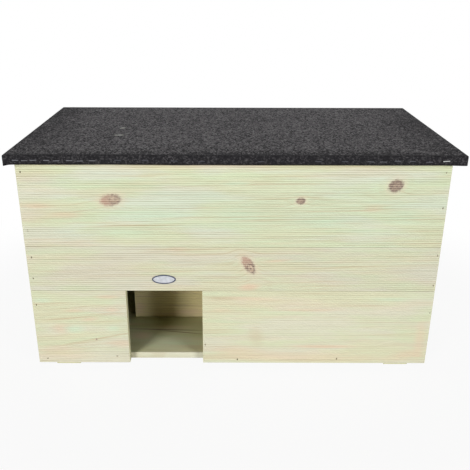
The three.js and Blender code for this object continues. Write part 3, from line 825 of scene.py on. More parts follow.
CHOSEN_STAINS = {
    "front_top_board": (
        Stain(0.110, 0.255, 0.230, 0.036, 0.02, 0.40, "green"),
        Stain(-0.112, 0.244, 0.048, 0.013, 0, 0.60, "green"),
        Stain(0.010, 0.243, 0.034, 0.012, 0, 0.60, "green"),
        Stain(0.125, 0.231, 0.036, 0.009, 0, 0.60, "green"),
        Stain(0.226, 0.240, 0.022, 0.015, 0, 0.50, "green"),
        Stain(-0.143, 0.219, 0.055, 0.007, 0, 0.50, "green"),
        Stain(0.003, 0.287, 0.018, 0.004, 0, 0.50, "green"),
        Stain(-0.262, 0.256, 0.020, 0.004, 0, 0.55, "blush"),
        Stain(-0.228, 0.244, 0.022, 0.004, 0, 0.50, "blush"),
        Stain(-0.275, 0.250, 0.040, 0.070, 0, 0.20, "blush"),
        Stain(0.000, 0.313, 0.300, 0.009, 0, 0.25, "blush"),
        Stain(-0.150, 0.202, 0.140, 0.009, 0, 0.25, "blush"),
        Stain(0.1866, 0.2527, 0.013, 0.005, 0.1, 0.40, "blush"),
    ),
    "front_middle_board": (
        Stain(-0.190, 0.165, 0.130, 0.030, 0, 0.12, "blush"),
        Stain(-0.265, 0.205, 0.022, 0.008, 0, 0.45, "blush"),
        Stain(-0.075, 0.196, 0.013, 0.008, 0, 0.35, "blush"),
        Stain(0.060, 0.176, 0.020, 0.0025, 0.08, 0.60, "blush"),
        Stain(0.0229, 0.1357, 0.014, 0.006, 0.15, 0.80, "blush"),
    ),
    "front_lower_left_board": (
        Stain(-0.205, 0.083, 0.013, 0.003, 0.1, 0.60, "blush"),
        Stain(-0.248, 0.067, 0.014, 0.008, 0, 0.50, "blush"),
        Stain(-0.250, 0.026, 0.045, 0.011, 0, 0.45, "blush"),
        Stain(-0.160, 0.043, 0.022, 0.007, 0, 0.45, "blush"),
        Stain(-0.229, 0.066, 0.015, 0.006, 0, 0.80, "green"),
        Stain(-0.172, 0.068, 0.011, 0.005, 0, 0.60, "green"),
        Stain(-0.270, 0.113, 0.014, 0.004, 0, 0.60, "green"),
        Stain(-0.228, 0.097, 0.014, 0.003, 0, 0.50, "blush"),
        Stain(-0.179, 0.119, 0.016, 0.003, 0, 0.55, "blush"),
        Stain(-0.172, 0.099, 0.010, 0.004, 0, 0.45, "blush"),
        Stain(-0.236, 0.0845, 0.042, 0.0011, 0.10, 0.75, "late"),
        Stain(-0.190, 0.0520, 0.050, 0.0012, 0.20, 0.75, "late"),
        Stain(-0.220, 0.0435, 0.040, 0.0010, 0.14, 0.60, "late"),
        Stain(-0.180, 0.0920, 0.030, 0.0011, 0.03, 0.60, "late"),
    ),
    "front_lower_right_board": (
        Stain(0.050, 0.108, 0.100, 0.010, 0, 0.20, "blush"),
        Stain(0.025, 0.1170, 0.040, 0.0030, -0.03, 0.50, "blush"),
        Stain(-0.016, 0.0990, 0.019, 0.0040, 0, 0.40, "blush"),
        Stain(0.098, 0.0990, 0.048, 0.0025, 0, 0.45, "blush"),
        Stain(0.133, 0.0385, 0.045, 0.0026, 0, 0.75, "blush"),
        Stain(0.222, 0.1165, 0.028, 0.0030, 0, 0.60, "green"),
        Stain(0.273, 0.0500, 0.008, 0.0300, 0, 0.45, "blush"),
        Stain(0.005, 0.0300, 0.034, 0.0090, 0, 0.40, "blush"),
        Stain(-0.0165, 0.1174, 0.025, 0.003, -0.05, 0.60, "streak"),
        Stain(0.0344, 0.0577, 0.011, 0.018, 0.2, 0.35, "late"),
        Stain(0.100, 0.020, 0.210, 0.007, 0, 0.40, "blush"),
        Stain(0.2576, 0.0244, 0.030, 0.008, 0.2, 0.50, "blush"),
    ),
    "baffle_lower_board": (
        Stain(-0.152, 0.036, 0.010, 0.012, 0, 0.60, "blush"),
        Stain(-0.072, 0.030, 0.026, 0.006, 0, 0.55, "blush"),
        Stain(-0.085, 0.042, 0.034, 0.0014, 0, 0.30, "bark"),
    ),
    "floor_front_board": (
        Stain(-0.100, -0.0720, 0.060, 0.0015, -0.04, 0.80, "bark"),
        Stain(-0.076, -0.0800, 0.034, 0.0015, -0.16, 0.80, "bark"),
        Stain(-0.140, -0.0900, 0.016, 0.0100, 0, 0.50, "blush"),
        Stain(-0.098, -0.0640, 0.030, 0.0060, 0, 0.40, "blush"),
        Stain(-0.085, -0.1080, 0.050, 0.0180, 0, 0.35, "green"),
        Stain(0.000, -0.1375, 0.300, 0.0020, 0, 0.95, "lower"),
    ),
}

# The planks indoors took up less of the green preservative than the walls
INDOOR_GREEN = {"baffle": 0.0, "floor": 0.4}
WALL_GREEN = 0.6
# How dark the painted shade and dust make the grooves of a drawn board
DRAWN_GROOVE_DUST_AND_SHADE = 0.5

# What a drawn cut varies between: the pith across and behind, the slope, the rings' spacing and the seed
CUT_RANGES = ((-0.05, 0.05), (0.04, 0.075), (-0.08, 0.08), (0.0045, 0.0062), (40, 900))

# What a drawn knot varies between: its half length, half height, turn, darkness and pale flecks, then its
# fade and its bend. It keeps a margin to the board's ends and to its edges, and a board has one of these
# numbers of knots.
KNOT_RANGES = ((0.005, 0.012), (0.004, 0.008), (-0.5, 0.5), (0.25, 0.8), (0.2, 0.8))
KNOT_FADES = (0.0, 0.7)
KNOT_BENDS = (0.006, 0.011)
END_MARGIN = 30 * MM
EDGE_MARGIN = 20 * MM
KNOTS_ON_A_BOARD = (0, 1, 1, 2)


def drawn_cut(node):
    """A cut from another log, the same on each run."""
    lot = random.Random(node)
    green = INDOOR_GREEN.get(node.partition("_")[0], WALL_GREEN)
    *shape, seed = (lot.uniform(*ends) for ends in CUT_RANGES)
    return Cut(*shape, green, DRAWN_GROOVE_DUST_AND_SHADE, seed)


def drawn_knots(node, along):
    """Up to two knots somewhere on a board."""
    lot = random.Random(node + "_knots")
    low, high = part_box(node)
    knots = []
    for _ in range(0 if node.startswith("baffle") else lot.choice(KNOTS_ON_A_BOARD)):
        place = lot.uniform(low[along] + END_MARGIN, high[along] - END_MARGIN)
        up = lot.uniform(low.z + EDGE_MARGIN, high.z - EDGE_MARGIN)
        shape = [lot.uniform(*ends) for ends in KNOT_RANGES]
        knots.append(Knot(place, up, *shape, lot.choice(KNOT_FADES), -lot.uniform(*KNOT_BENDS)))
    return knots


def placed(marks, node):
    """A board's chosen knots or stains, moved to where the house stands."""
    return [mark._replace(along=HOUSE_X + mark.along) for mark in marks.get(node, ())]


def board_finish(node, turn, tone):
    """The pine of one wall board, with its grain along the wall."""
    low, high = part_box(node)
    along_x = abs(math.cos(turn)) > 0.5
    axes = "XZY" if along_x else "YZX"
    middle = [(low["XYZ".index(axis)] + high["XYZ".index(axis)]) / 2 for axis in axes]
    cut, knots = CHOSEN_CUTS.get(node), placed(CHOSEN_KNOTS, node)
    if not cut:
        cut, knots = drawn_cut(node), drawn_knots(node, "XYZ".index(axes[0]))
    return pine(f"pine_{node}", axes, middle, cut, tone, knots, placed(CHOSEN_STAINS, node))


# How much deeper or shallower than the rest a groove may be
DEPTH_RANGE = (0.8, 1.1)


def reeded_board(node, turn):
    """A board with rounded reeds over its outer face, made facing the front and then turned with its wall."""
    wood = bpy.context.scene.house_wood
    low, high = local_box(node, turn)
    bm = bmesh.new()
    add_block(bm, low, high)
    middle = (low.y + high.y) / 2
    width = high.z - low.z
    reeds = max(1, round(width / wood.reed_pitch))
    uprights = edges_along(bm, 2, lambda edge: edge.verts[0].co.y < middle)
    bmesh.ops.subdivide_edges(bm, edges=uprights, cuts=reeds * wood.reed_steps - 1)
    groove = bm.verts.layers.float.new("groove")
    lot = random.Random(node + "_reeds")
    depths = [wood.reed_depth * lot.uniform(*DEPTH_RANGE) for _ in range(reeds + 1)]
    for vert in bm.verts:
        if vert.co.y < middle:
            place = (vert.co.z - low.z) / width * reeds
            crest = abs(math.sin(math.pi * place)) ** wood.reed_fullness
            vert[groove] = 1 - crest
            vert.co.y += depths[round(place)] * (1 - crest)
    for end in (low.x + wood.end_chamfer, high.x - wood.end_chamfer):
        bmesh.ops.bisect_plane(
            bm, geom=bm.verts[:] + bm.edges[:] + bm.faces[:], plane_co=(end, 0, 0), plane_no=(1, 0, 0)
        )
    for end in (low.x, high.x):
        tips = [vert for vert in bm.verts if abs(vert.co.x - end) < ON_FACE]
        shrink = Vector((1, 1 - wood.end_chamfer / (high.y - low.y), 1 - wood.end_chamfer / width))
        centre = Vector((end, middle, (low.z + high.z) / 2))
        bmesh.ops.scale(bm, vec=shrink, space=Matrix.Translation(-centre), verts=tips)
    mark_ends(bm, 0, low, high, 2 * wood.end_chamfer)
    bmesh.ops.rotate(bm, cent=(0, 0, 0), matrix=rotation(turn).to_3x3(), verts=bm.verts)
    return bm


def cut_out(piece, cutter_bm):
    """Cuts a closed bmesh out of a finished piece, and leaves no live modifier."""
    mesh = finished_mesh(cutter_bm, "cutter")
    cutter = linked("cutter", mesh)
    modifier = piece.modifiers.new("cut", "BOOLEAN")
    modifier.operation = "DIFFERENCE"
    modifier.solver = "EXACT"
    modifier.use_self = True
    modifier.object = cutter
    bpy.context.view_layer.update()
    cut = bpy.data.meshes.new_from_object(piece.evaluated_get(bpy.context.evaluated_depsgraph_get()))
    piece.modifiers.clear()
    cut.name = piece.name
    piece.data = cut
    bpy.data.objects.remove(cutter)
    bpy.data.meshes.remove(mesh)


def leaf_recesses():
    """The blocks that the roof leaves of the hinges lie in, cut from the rear wall's top edge."""
    wall_low, wall_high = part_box("rear_top_board")
    clear = 0.3 * MM
    bm = bmesh.new()
    for side in ("left", "right"):
        low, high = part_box(f"{side}_hinge_roof_leaf")
        plate = high.z - bpy.context.scene.house_metal.leaf_thickness
        add_block(
            bm, (low.x - 2 * clear, wall_low.y - clear, plate - clear),
            (high.x + 2 * clear, wall_high.y + clear, wall_high.z + clear),
        )
    return bm


class HOUSE_OT_outer_boards(bpy.types.Operator):
    """Mill the reeded boards of the four walls"""

    bl_idname = "house.outer_boards"
    bl_label = "Outer boards"

    def execute(self, context):
        wood = context.scene.house_wood
        tones = {"top": wood.top_tone, "middle": wood.middle_tone, "lower": wood.lower_tone}
        for node in sorted(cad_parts):
            wall, _, rest = node.partition("_")
            if wall not in ("front", "rear", "left", "right") or not node.endswith("board"):
                continue
            course = rest.split("_")[0]
            finish = board_finish(node, TURNS[wall], tones[course])
            bm = reeded_board(node, TURNS[wall])
            piece = place_piece(bm, f"{node}_pine", [finish], "house", [node])
            if node == "rear_top_board":
                cut_out(piece, leaf_recesses())
        return {"FINISHED"}


class HOUSE_OT_inner_boards(bpy.types.Operator):
    """Mill the reeded boards of the baffle and of its side wall"""

    bl_idname = "house.inner_boards"
    bl_label = "Inner boards"

    def execute(self, context):
        wood = context.scene.house_wood
        for node in sorted(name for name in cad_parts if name.startswith("baffle")):
            on_side = node.startswith("baffle_side")
            turn = TURNS["baffle_side" if on_side else "baffle"]
            # The side wall's boards get the pine painted with shade
            finish = board_finish(node, turn, wood.shaded_side_tone if on_side else wood.inside_tone)
            place_piece(reeded_board(node, turn), f"{node}_pine", [finish], "house", [node])
        return {"FINISHED"}


def plank(node, axis):
    """A planed board or batten with broken edges and sawn ends."""
    wood = bpy.context.scene.house_wood
    low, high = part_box(node)
    bm = bmesh.new()
    add_block(bm, low, high)
    broken_edges(bm, bm.edges[:], wood.plank_chamfer)
    mark_ends(bm, axis, low, high, 2 * wood.plank_chamfer)
    return bm


class HOUSE_OT_floor_boards(bpy.types.Operator):
    """Plane the three floor boards"""

    bl_idname = "house.floor_boards"
    bl_label = "Floor boards"

    def execute(self, context):
        for node in sorted(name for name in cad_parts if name.startswith("floor_")):
            low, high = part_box(node)
            middle = [(low[i] + high[i]) / 2 for i in (0, 1, 2)]
            tone = context.scene.house_wood.planed_tone
            stains = placed(CHOSEN_STAINS, node)
            finish = pine(f"pine_{node}", "XYZ", middle, drawn_cut(node), tone, (), stains)
            place_piece(plank(node, 0), f"{node}_pine", [finish], "house", [node])
        return {"FINISHED"}


class HOUSE_OT_runners(bpy.types.Operator):
    """Saw the two runners under the floor"""

    bl_idname = "house.runners"
    bl_label = "Runners"

    def execute(self, context):
        for node in ("left_runner", "right_runner"):
            low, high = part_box(node)
            middle = [(low[i] + high[i]) / 2 for i in (1, 0, 2)]
            tone = context.scene.house_wood.planed_tone
            finish = pine(f"pine_{node}", "YXZ", middle, drawn_cut(node), tone)
            place_piece(plank(node, 1), f"{node}_pine", [finish], "house", [node])
        return {"FINISHED"}


# Roof

# A rubbed place on the felt: its middle, its half length and half width, and its turn
Scuff = namedtuple("Scuff", "across along half_length half_width turn")
SCUFFS = (
    Scuff(-0.1680, -0.0040, 0.0052, 0.0024, math.radians(20)),
    Scuff(-0.1659, -0.0498, 0.0085, 0.0024, math.radians(8)),
)


def felt_sheet():
    """The outer face of the felt, folded down over the roof board on all sides."""
    roof = bpy.context.scene.house_roof
    low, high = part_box("roof_felt")
    bm = bmesh.new()
    add_block(bm, low, high)

    def loose(edge):
        """Whether an upright edge stands at the front right corner."""
        return edge.verts[0].co.x > 0 > edge.verts[0].co.y

    broken_edges(bm, edges_along(bm, 2, loose), roof.soft_corner, 5)
    broken_edges(bm, edges_along(bm, 2, lambda edge: not loose(edge)), roof.sharp_corner, 5)
    rim = [edge for edge in bm.edges if all(vert.co.z > high.z - ON_FACE for vert in edge.verts)]
    broken_edges(bm, rim, roof.fold_radius, 4)
    floor_faces = [face for face in bm.faces if face.normal.z < -0.9]
    bmesh.ops.delete(bm, geom=floor_faces, context="FACES")
    for axis in (0, 1, 2):
        count = int((high[axis] - low[axis]) / roof.mesh_step)
        normal = [float(axis == i) for i in range(3)]
        for step in range(1, count):
            at = [0, 0, 0]
            at[axis] = low[axis] + (high[axis] - low[axis]) * step / count
            whole = bm.verts[:] + bm.edges[:] + bm.faces[:]
            bmesh.ops.bisect_plane(bm, geom=whole, plane_co=at, plane_no=normal)
    return bm


def past_crown(offset):
    """How far a point on the felt lies from a staple's crown, from its offset to the crown's middle."""
    half = bpy.context.scene.house_metal.staple_crown / 2
    return math.hypot(max(0, math.hypot(offset.x, offset.y) - half), offset.z)


# How the felt settles: how often its slow and quick unevenness and its hem's wave change in a metre, and the
# share of the unevenness that is slow. From the top at 0 to the lower edge at 1: where the flaps and dents
# start and where the hem starts. A flap's edge slants: its reach at the top, and what it loses downwards.
SLOW_NOISE = 14
QUICK_NOISE = 70
QUICK_PLACE = Vector((3, 5, 7))
HEM_NOISE = 21
SLOW_SHARE = 0.65
FLAP_START = 0.3
HEM_START = 0.9
FLAP_TOP = 1.15
FLAP_TAPER = 0.5


def wander(at):
    """Soft noise between 0 and 1 at a point."""
    return 0.5 + 0.5 * noise.noise(at)


def settle_felt(bm):
    """Lets the felt wander in and out, waves its cut edge, steps its corner flaps and dents it at staples."""
    roof = bpy.context.scene.house_roof
    low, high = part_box("roof_felt")
    staples = staple_places()
    bm.normal_update()
    moves = {}
    for vert in bm.verts:
        at = vert.co
        slow, quick = wander(at * SLOW_NOISE), wander(at * QUICK_NOISE + QUICK_PLACE)
        inward = roof.unevenness * (SLOW_SHARE * slow + (1 - SLOW_SHARE) * quick)
        drop = (high.z - at.z) / (high.z - low.z)
        flap = roof.lap_reach * (FLAP_TOP - FLAP_TAPER * drop)
        if drop > FLAP_START:
            if abs(at.x) > high.x - 0.5 * MM and abs(at.y) < high.y - flap:
                inward += roof.lap_step
            nearest = min(past_crown(at - staple) for staple in staples)
            inward += roof.staple_dent * math.exp(-((nearest / roof.dent_reach) ** 2))
        move = -vert.normal * inward
        if drop > HEM_START:
            from_corner = max(high.x - abs(at.x), high.y - abs(at.y))
            wave = wander(Vector((at.x, at.y, 0)) * HEM_NOISE)
            move.z += roof.hem_wave * wave * min(1, from_corner / roof.lap_reach)
            if at.x < 0 and at.y < 0:
                move.z -= roof.hem_tongue * math.exp(-((from_corner / roof.tongue_reach) ** 2))
        moves[vert] = move
    for vert, move in moves.items():
        vert.co += move


class HOUSE_OT_roof_felt(bpy.types.Operator):
    """Fold the mineral felt over the roof board"""

    bl_idname = "house.roof_felt"
    bl_label = "Roof felt"

    def execute(self, context):
        roof = context.scene.house_roof
        bm = felt_sheet()
        settle_felt(bm)
        piece = place_piece(
            bm, "mineral_felt", [felt_finish()], "roof", ["roof_felt"], smooth_angle=60
        )
        sheet = piece.modifiers.new("sheet", "SOLIDIFY")
        sheet.thickness = roof.felt_thickness
        sheet.offset = -1
        return {"FINISHED"}


class HOUSE_OT_roof_panel(bpy.types.Operator):
    """Cut the plywood board of the roof"""

    bl_idname = "house.roof_panel"
    bl_label = "Roof board"

    def execute(self, context):
        bm = plank("roof_panel", 0)
        place_piece(bm, "plywood_panel", [ply_finish()], "roof", ["roof_panel"])
        return {"FINISHED"}


# Hinges and fixings

class HOUSE_OT_hinges(bpy.types.Operator):
    """Finish the leaves and pins of the two butt hinges"""

    bl_idname = "house.hinges"
    bl_label = "Hinges"

    def execute(self, context):
        metal = context.scene.house_metal
        zinc = metal_finish("zinc_plate", metal.zinc_tone, 0.30, 0.52)
        for side in ("left", "right"):
            for part, body in (("wall_leaf", "house"), ("roof_leaf", "roof"), ("pin", "house")):
                node = f"{side}_hinge_{part}"
                bm = refined_copy(node, metal.edge_break)
                place_piece(bm, f"{node}_plated", [zinc], body, [node], smooth_angle=35)
        return {"FINISHED"}


def turned(profile, steps):
    """A closed turned shape about Z, from pairs of radius and height that start and end on the axis."""
    bm = bmesh.new()
    points = [bm.verts.new((radius, 0, at)) for radius, at in profile]
    edges = [bm.edges.new(pair) for pair in zip(points, points[1:])]
    bmesh.ops.spin(
        bm, geom=points + edges, cent=(0, 0, 0), axis=(0, 0, 1), angle=2 * math.pi, steps=steps,
        use_merge=True,
    )
    bmesh.ops.remove_doubles(bm, verts=bm.verts, dist=SAME_POINT)
    bmesh.ops.recalc_face_normals(bm, faces=bm.faces)
    return bm


# A screw's head: how much its rim is broken, how far below the face it is widest, and where the cone starts.
# Then the cross in it, as shares of its reach: how wide and how deep it is, and how far it narrows.
RIM_BREAK = 0.1 * MM
RIM_WIDEST = 0.12 * MM
CONE_START = 0.3 * MM
CROSS_WIDTH_SHARE = 0.32
CROSS_DEPTH_SHARE = 0.85
CROSS_TIP_SHARE = 0.45


def screw_blank(head, shank, long):
    """A countersunk screw whose head faces up along Z, with its face at the origin."""
    sink = head - shank
    rim = head - RIM_BREAK
    return turned((
        (0, 0), (rim, 0), (head, -RIM_WIDEST), (rim, -CONE_START), (shank, -sink),
        (shank, -long + 2 * shank), (0, -long),
    ), 28)


def cross_cutter(metal):
    """The tapered cross that a screwdriver's tip fits."""
    bm = bmesh.new()
    size = metal.recess_size
    width, deep = CROSS_WIDTH_SHARE * size, CROSS_DEPTH_SHARE * size
    for long, wide in ((size, width), (width, size)):
        arm = add_block(bm, (-long, -wide, -deep), (long, wide, 0.3 * MM))
        tip = [vert for vert in arm if vert.co.z < 0]
        bmesh.ops.scale(bm, vec=(CROSS_TIP_SHARE, CROSS_TIP_SHARE, 1), verts=tip)
    return bm


class HOUSE_OT_hinge_screws(bpy.types.Operator):
    """Turn the hinge screws and press the cross into their heads"""

    bl_idname = "house.hinge_screws"
    bl_label = "Hinge screws"

    def execute(self, context):
        metal = context.scene.house_metal
        zinc = metal_finish("zinc_screw", metal.zinc_tone, 0.26, 0.48)
        lot = random.Random("hinge_screws")
        for node in sorted(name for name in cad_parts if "screw" in name):
            low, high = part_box(node)
            on_wall = "wall" in node
            middle = (low + high) / 2
            face = Vector((middle.x, high.y, middle.z)) if on_wall else Vector((middle.x, middle.y, low.z))
            head = (high.x - low.x) / 2
            long = (high.y - low.y) if on_wall else (high.z - low.z)
            lean = Matrix.Rotation(-QUARTER if on_wall else 2 * QUARTER, 4, "X")
            place = Matrix.Translation(face) @ lean @ Matrix.Rotation(lot.uniform(0, QUARTER), 4, "Z")
            blank, cross = screw_blank(head, head / 2, long), cross_cutter(metal)
            for bm in (blank, cross):
                bmesh.ops.transform(bm, matrix=place, verts=bm.verts)
            body = "house" if on_wall else "roof"
            piece = place_piece(
                blank, f"{node}_plated", [zinc], body, [node], smooth_angle=30
            )
            cut_out(piece, cross)
        return {"FINISHED"}


def add_copy(bm, template, place):
    """Adds a template's mesh at a place."""
    start = len(bm.verts)
    bm.from_mesh(template)
    bm.verts.ensure_lookup_table()
    bmesh.ops.transform(bm, matrix=place, verts=bm.verts[start:])


# Nails of the front wall: place from the middle of the house and height above the ground. Most heads stand
# upright, and two lie on their side.
FRONT_NAILS = (
    (-0.2787, 0.3026), (-0.2784, 0.2201), (-0.2779, 0.1805), (-0.2791, 0.1483), (-0.2794, 0.1061),
    (0.2781, 0.3036), (0.2799, 0.2540), (0.2819, 0.1848), (0.2817, 0.1387), (0.2825, 0.0955),
    (0.0076, 0.0160), (0.1542, 0.0175), (-0.0396, 0.0413),
)
LYING_NAILS = ((-0.2723, 0.0171), (-0.1694, 0.0212))

# The drawn nails: how far in from the rear wall's ends they are, their two places up each rear board, and
# the rows along the floor, which end short of the corners
NAIL_INSET = 6 * MM
NAIL_SHARES = (0.2, 0.8)
NAILS_IN_A_ROW = 4
REAR_ROW_INSET = 40 * MM
SIDE_ROW_INSET = 30 * MM


def nail_places():
    """Every nail: the wall's turn, its place from the wall's middle as seen by someone who faces it, its
    height, and how far it leans over."""
    lot = random.Random("nails")

    def about(value, most):
        """A value that is off by up to so many millimetres."""
        return value + lot.uniform(-most, most) * MM

    places = [(0, across, up, 0) for across, up in FRONT_NAILS]
    places += [(0, across, up, QUARTER) for across, up in LYING_NAILS]
    wide = WALL_HIGH.x - HOUSE_X - NAIL_INSET
    for node in ("rear_top_board", "rear_middle_board", "rear_lower_board"):
        low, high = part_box(node)
        for across in (-wide, wide):
            for share_up in NAIL_SHARES:
                up = (1 - share_up) * low.z + share_up * high.z
                places.append((2 * QUARTER, about(across, 1.5), about(up, 4), 0))
    low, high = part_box("floor_rear_board")
    floor_line = (low.z + high.z) / 2
    side_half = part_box("left_top_board")[1].y - SIDE_ROW_INSET
    for turn, half in ((2 * QUARTER, wide - REAR_ROW_INSET), (-QUARTER, side_half), (QUARTER, side_half)):
        for step in range(NAILS_IN_A_ROW):
            across = -half + 2 * half * step / (NAILS_IN_A_ROW - 1)
            places.append((turn, about(across, 6), about(floor_line, 1.5), 0))
    return places


# A nail: how far its head stands out, how far the head reaches in, how much its edges are broken, from where
# to where the shank reaches, and half its width and height. Then how far the nails lean, and how deep they
# are driven, in mm.
HEAD_PROUD = 0.15 * MM
HEAD_BELOW = 0.55 * MM
HEAD_EDGE = 0.22 * MM
SHANK_FROM = 0.3 * MM
SHANK_TO = 24 * MM
SHANK_HALF = (0.5 * MM, 0.6 * MM)
NAIL_LEAN = 0.25
NAIL_DRIVEN = (-0.1, 0.25)


def nail_template(metal):
    """An oblong brad whose head faces down along Y, with its face near the origin."""
    half, tall = metal.nail_width / 2, metal.nail_height / 2
    bm = bmesh.new()
    add_block(bm, (-half, -HEAD_PROUD, -tall), (half, HEAD_BELOW, tall))
    broken_edges(bm, bm.edges[:], HEAD_EDGE)
    wide, high = SHANK_HALF
    add_block(bm, (-wide, SHANK_FROM, -high), (wide, SHANK_TO, high))
    return finished_mesh(bm, "nail")


class HOUSE_OT_nails(bpy.types.Operator):
    """Drive the nails of the walls"""

    bl_idname = "house.nails"
    bl_label = "Nails"

    def execute(self, context):
        metal = context.scene.house_metal
        steel = metal_finish("nail_head", metal.nail_tone, 0.55, 0.8, metallic=0.2, dull=0.35)
        lot = random.Random("nail_heads")
        half_width, half_depth = WALL_HIGH.x - HOUSE_X, -WALL_LOW.y
        middle = Matrix.Translation((HOUSE_X, 0, 0))
        template = nail_template(metal)
        bm = bmesh.new()
        for turn, across, up, lean in nail_places():
            out = half_width if abs(math.sin(turn)) > 0.5 else half_depth
            tilt = Matrix.Rotation(lean + lot.uniform(-NAIL_LEAN, NAIL_LEAN), 4, "Y")
            spot = Matrix.Translation((across, -out + lot.uniform(*NAIL_DRIVEN) * MM, up))
            add_copy(bm, template, middle @ rotation(turn) @ spot @ tilt)
        bpy.data.meshes.remove(template)
        place_piece(bm, "wall_nails", [steel], "house")
        return {"FINISHED"}


# Staples along the front edge of the felt: how tarnished each group is, and its places from the middle of the
# house
FRONT_STAPLES = (
    (0.84, (-0.2789, -0.2675, -0.2560, -0.2394, -0.2267, -0.2101, -0.1961, -0.1808)),
    (0.95, (-0.1480, -0.1130, -0.0760, -0.0410, -0.0020, 0.0350, 0.0720, 0.1080, 0.1420)),
    (0.90, (0.1748, 0.1914, 0.2092, 0.2284, 0.2500)),
    (0.15, (0.2717,)),
)

# Staples on the other edges: how far apart they are, how far they wander, and how tarnished they are
STAPLE_PITCH = 30 * MM
STAPLE_WANDER = 5 * MM
STAPLE_TARNISH = (0.3, 0.95)


def staple_rows():
    """Each side of the roof with its staples: the side's turn, how far out it lies, and for each staple its
    place along the side and how tarnished it is."""
    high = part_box("roof_felt")[1]
    lot = random.Random("staple_rows")
    front = [(HOUSE_X + across, tarnish) for tarnish, places in FRONT_STAPLES for across in places]
    rows = [(0, high.y, front)]
    others = ((2 * QUARTER, high.x, high.y), (QUARTER, high.y, high.x), (-QUARTER, high.y, high.x))
    for turn, half, out in others:
        count = round(2 * half / STAPLE_PITCH)
        row = []
        for step in range(count):
            across = -half + 2 * half * (step + 0.5) / count
            row.append((across + lot.uniform(-1, 1) * STAPLE_WANDER, lot.uniform(*STAPLE_TARNISH)))
        rows.append((turn, out, row))
    return rows


def staple_places():
    """The middle of every staple."""
    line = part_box("roof_felt")[0].z + bpy.context.scene.house_metal.staple_rise
    places = []
    for turn, out, staples in staple_rows():
        places += [rotation(turn) @ Vector((across, -out, line)) for across, _ in staples]
    return places


# A staple: the thickness of its flat wire and the outer radius of its bends
WIRE_FLAT = 0.5 * MM
WIRE_BEND = 0.7 * MM


def staple_template(metal):
    """A staple with its crown along X and its legs going in along Y, bent from flat wire."""
    bm = bmesh.new()
    wire, half = metal.staple_wire / 2, metal.staple_crown / 2
    inner = -half + WIRE_FLAT
    corners = [(-half, 0, -wire), (inner, 0, -wire), (inner, 0, wire), (-half, 0, wire)]
    section = bm.faces.new([bm.verts.new(corner) for corner in corners])
    bmesh.ops.translate(bm, vec=(0, metal.staple_leg, 0), verts=section.verts)

    def draw(face, vec):
        """Draws the wire on in a straight line."""
        end = moved_face(bmesh.ops.extrude_face_region(bm, geom=[face])["geom"])
        bmesh.ops.translate(bm, vec=vec, verts=end.verts)
        if face.is_valid:
            bmesh.ops.delete(bm, geom=[face], context="FACES_ONLY")
        return end

    def bend_round(face, centre):
        """Bends the wire a quarter turn about a centre."""
        bent = bmesh.ops.spin(
            bm, geom=[face], cent=centre, axis=(0, 0, 1), angle=QUARTER, steps=4, use_merge=False
        )
        return moved_face(bent["geom_last"])

    run = draw(section, (0, WIRE_BEND - metal.staple_leg, 0))
    run = bend_round(run, (WIRE_BEND - half, WIRE_BEND, 0))
    run = draw(run, (2 * (half - WIRE_BEND), 0, 0))
    run = bend_round(run, (half - WIRE_BEND, WIRE_BEND, 0))
    draw(run, (0, metal.staple_leg - WIRE_BEND, 0))
    bmesh.ops.remove_doubles(bm, verts=bm.verts, dist=SAME_POINT)
    bmesh.ops.holes_fill(bm, edges=[edge for edge in bm.edges if edge.is_boundary])
    bmesh.ops.recalc_face_normals(bm, faces=bm.faces)
    return finished_mesh(bm, "staple")


# How deep a bright staple is shot and how much deeper a tarnished one, how much that and the height vary, in
# mm, and how far a staple leans
BRIGHT_DEPTH = 0.15
TARNISH_DEPTH = 0.3
DEPTH_SPREAD = 0.1
HEIGHT_SPREAD = 0.8
STAPLE_LEAN = 0.09


class HOUSE_OT_staples(bpy.types.Operator):
    """Shoot the staples that hold the felt's flaps"""

    bl_idname = "house.staples"
    bl_label = "Staples"

    def execute(self, context):
        metal = context.scene.house_metal
        wire = metal_finish(
            "staple_wire", metal.wire_tone, 0.3, 0.5, metallic=0.85, dull=0.15,
            tarnish_tone=metal.tarnish_tone,
        )
        template = staple_template(metal)
        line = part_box("roof_felt")[0].z + metal.staple_rise
        lot = random.Random("staples")
        bm = bmesh.new()
        shades = []
        for turn, out, staples in staple_rows():
            for across, tarnish in staples:
                deep = BRIGHT_DEPTH + TARNISH_DEPTH * tarnish + lot.uniform(-DEPTH_SPREAD, DEPTH_SPREAD)
                tilt = Matrix.Rotation(lot.uniform(-STAPLE_LEAN, STAPLE_LEAN), 4, "Y")
                up = line + lot.uniform(-HEIGHT_SPREAD, HEIGHT_SPREAD) * MM
                spot = Matrix.Translation((across, -out + deep * MM, up))
                add_copy(bm, template, rotation(turn) @ spot @ tilt)
                shades += [tarnish] * len(template.vertices)
        layer = bm.verts.layers.float.new("tarnish")
        for vert, shade in zip(bm.verts, shades):
            vert[layer] = shade
        bpy.data.meshes.remove(template)
        place_piece(bm, "felt_staples", [wire], "roof")
        return {"FINISHED"}


# The oval plate: how much its edge is broken, how wide its rim is, and how deep its field lies below the rim
PLATE_EDGE = 0.25 * MM
PLATE_RIM = 1.1 * MM
FIELD_DEPTH = 0.3 * MM


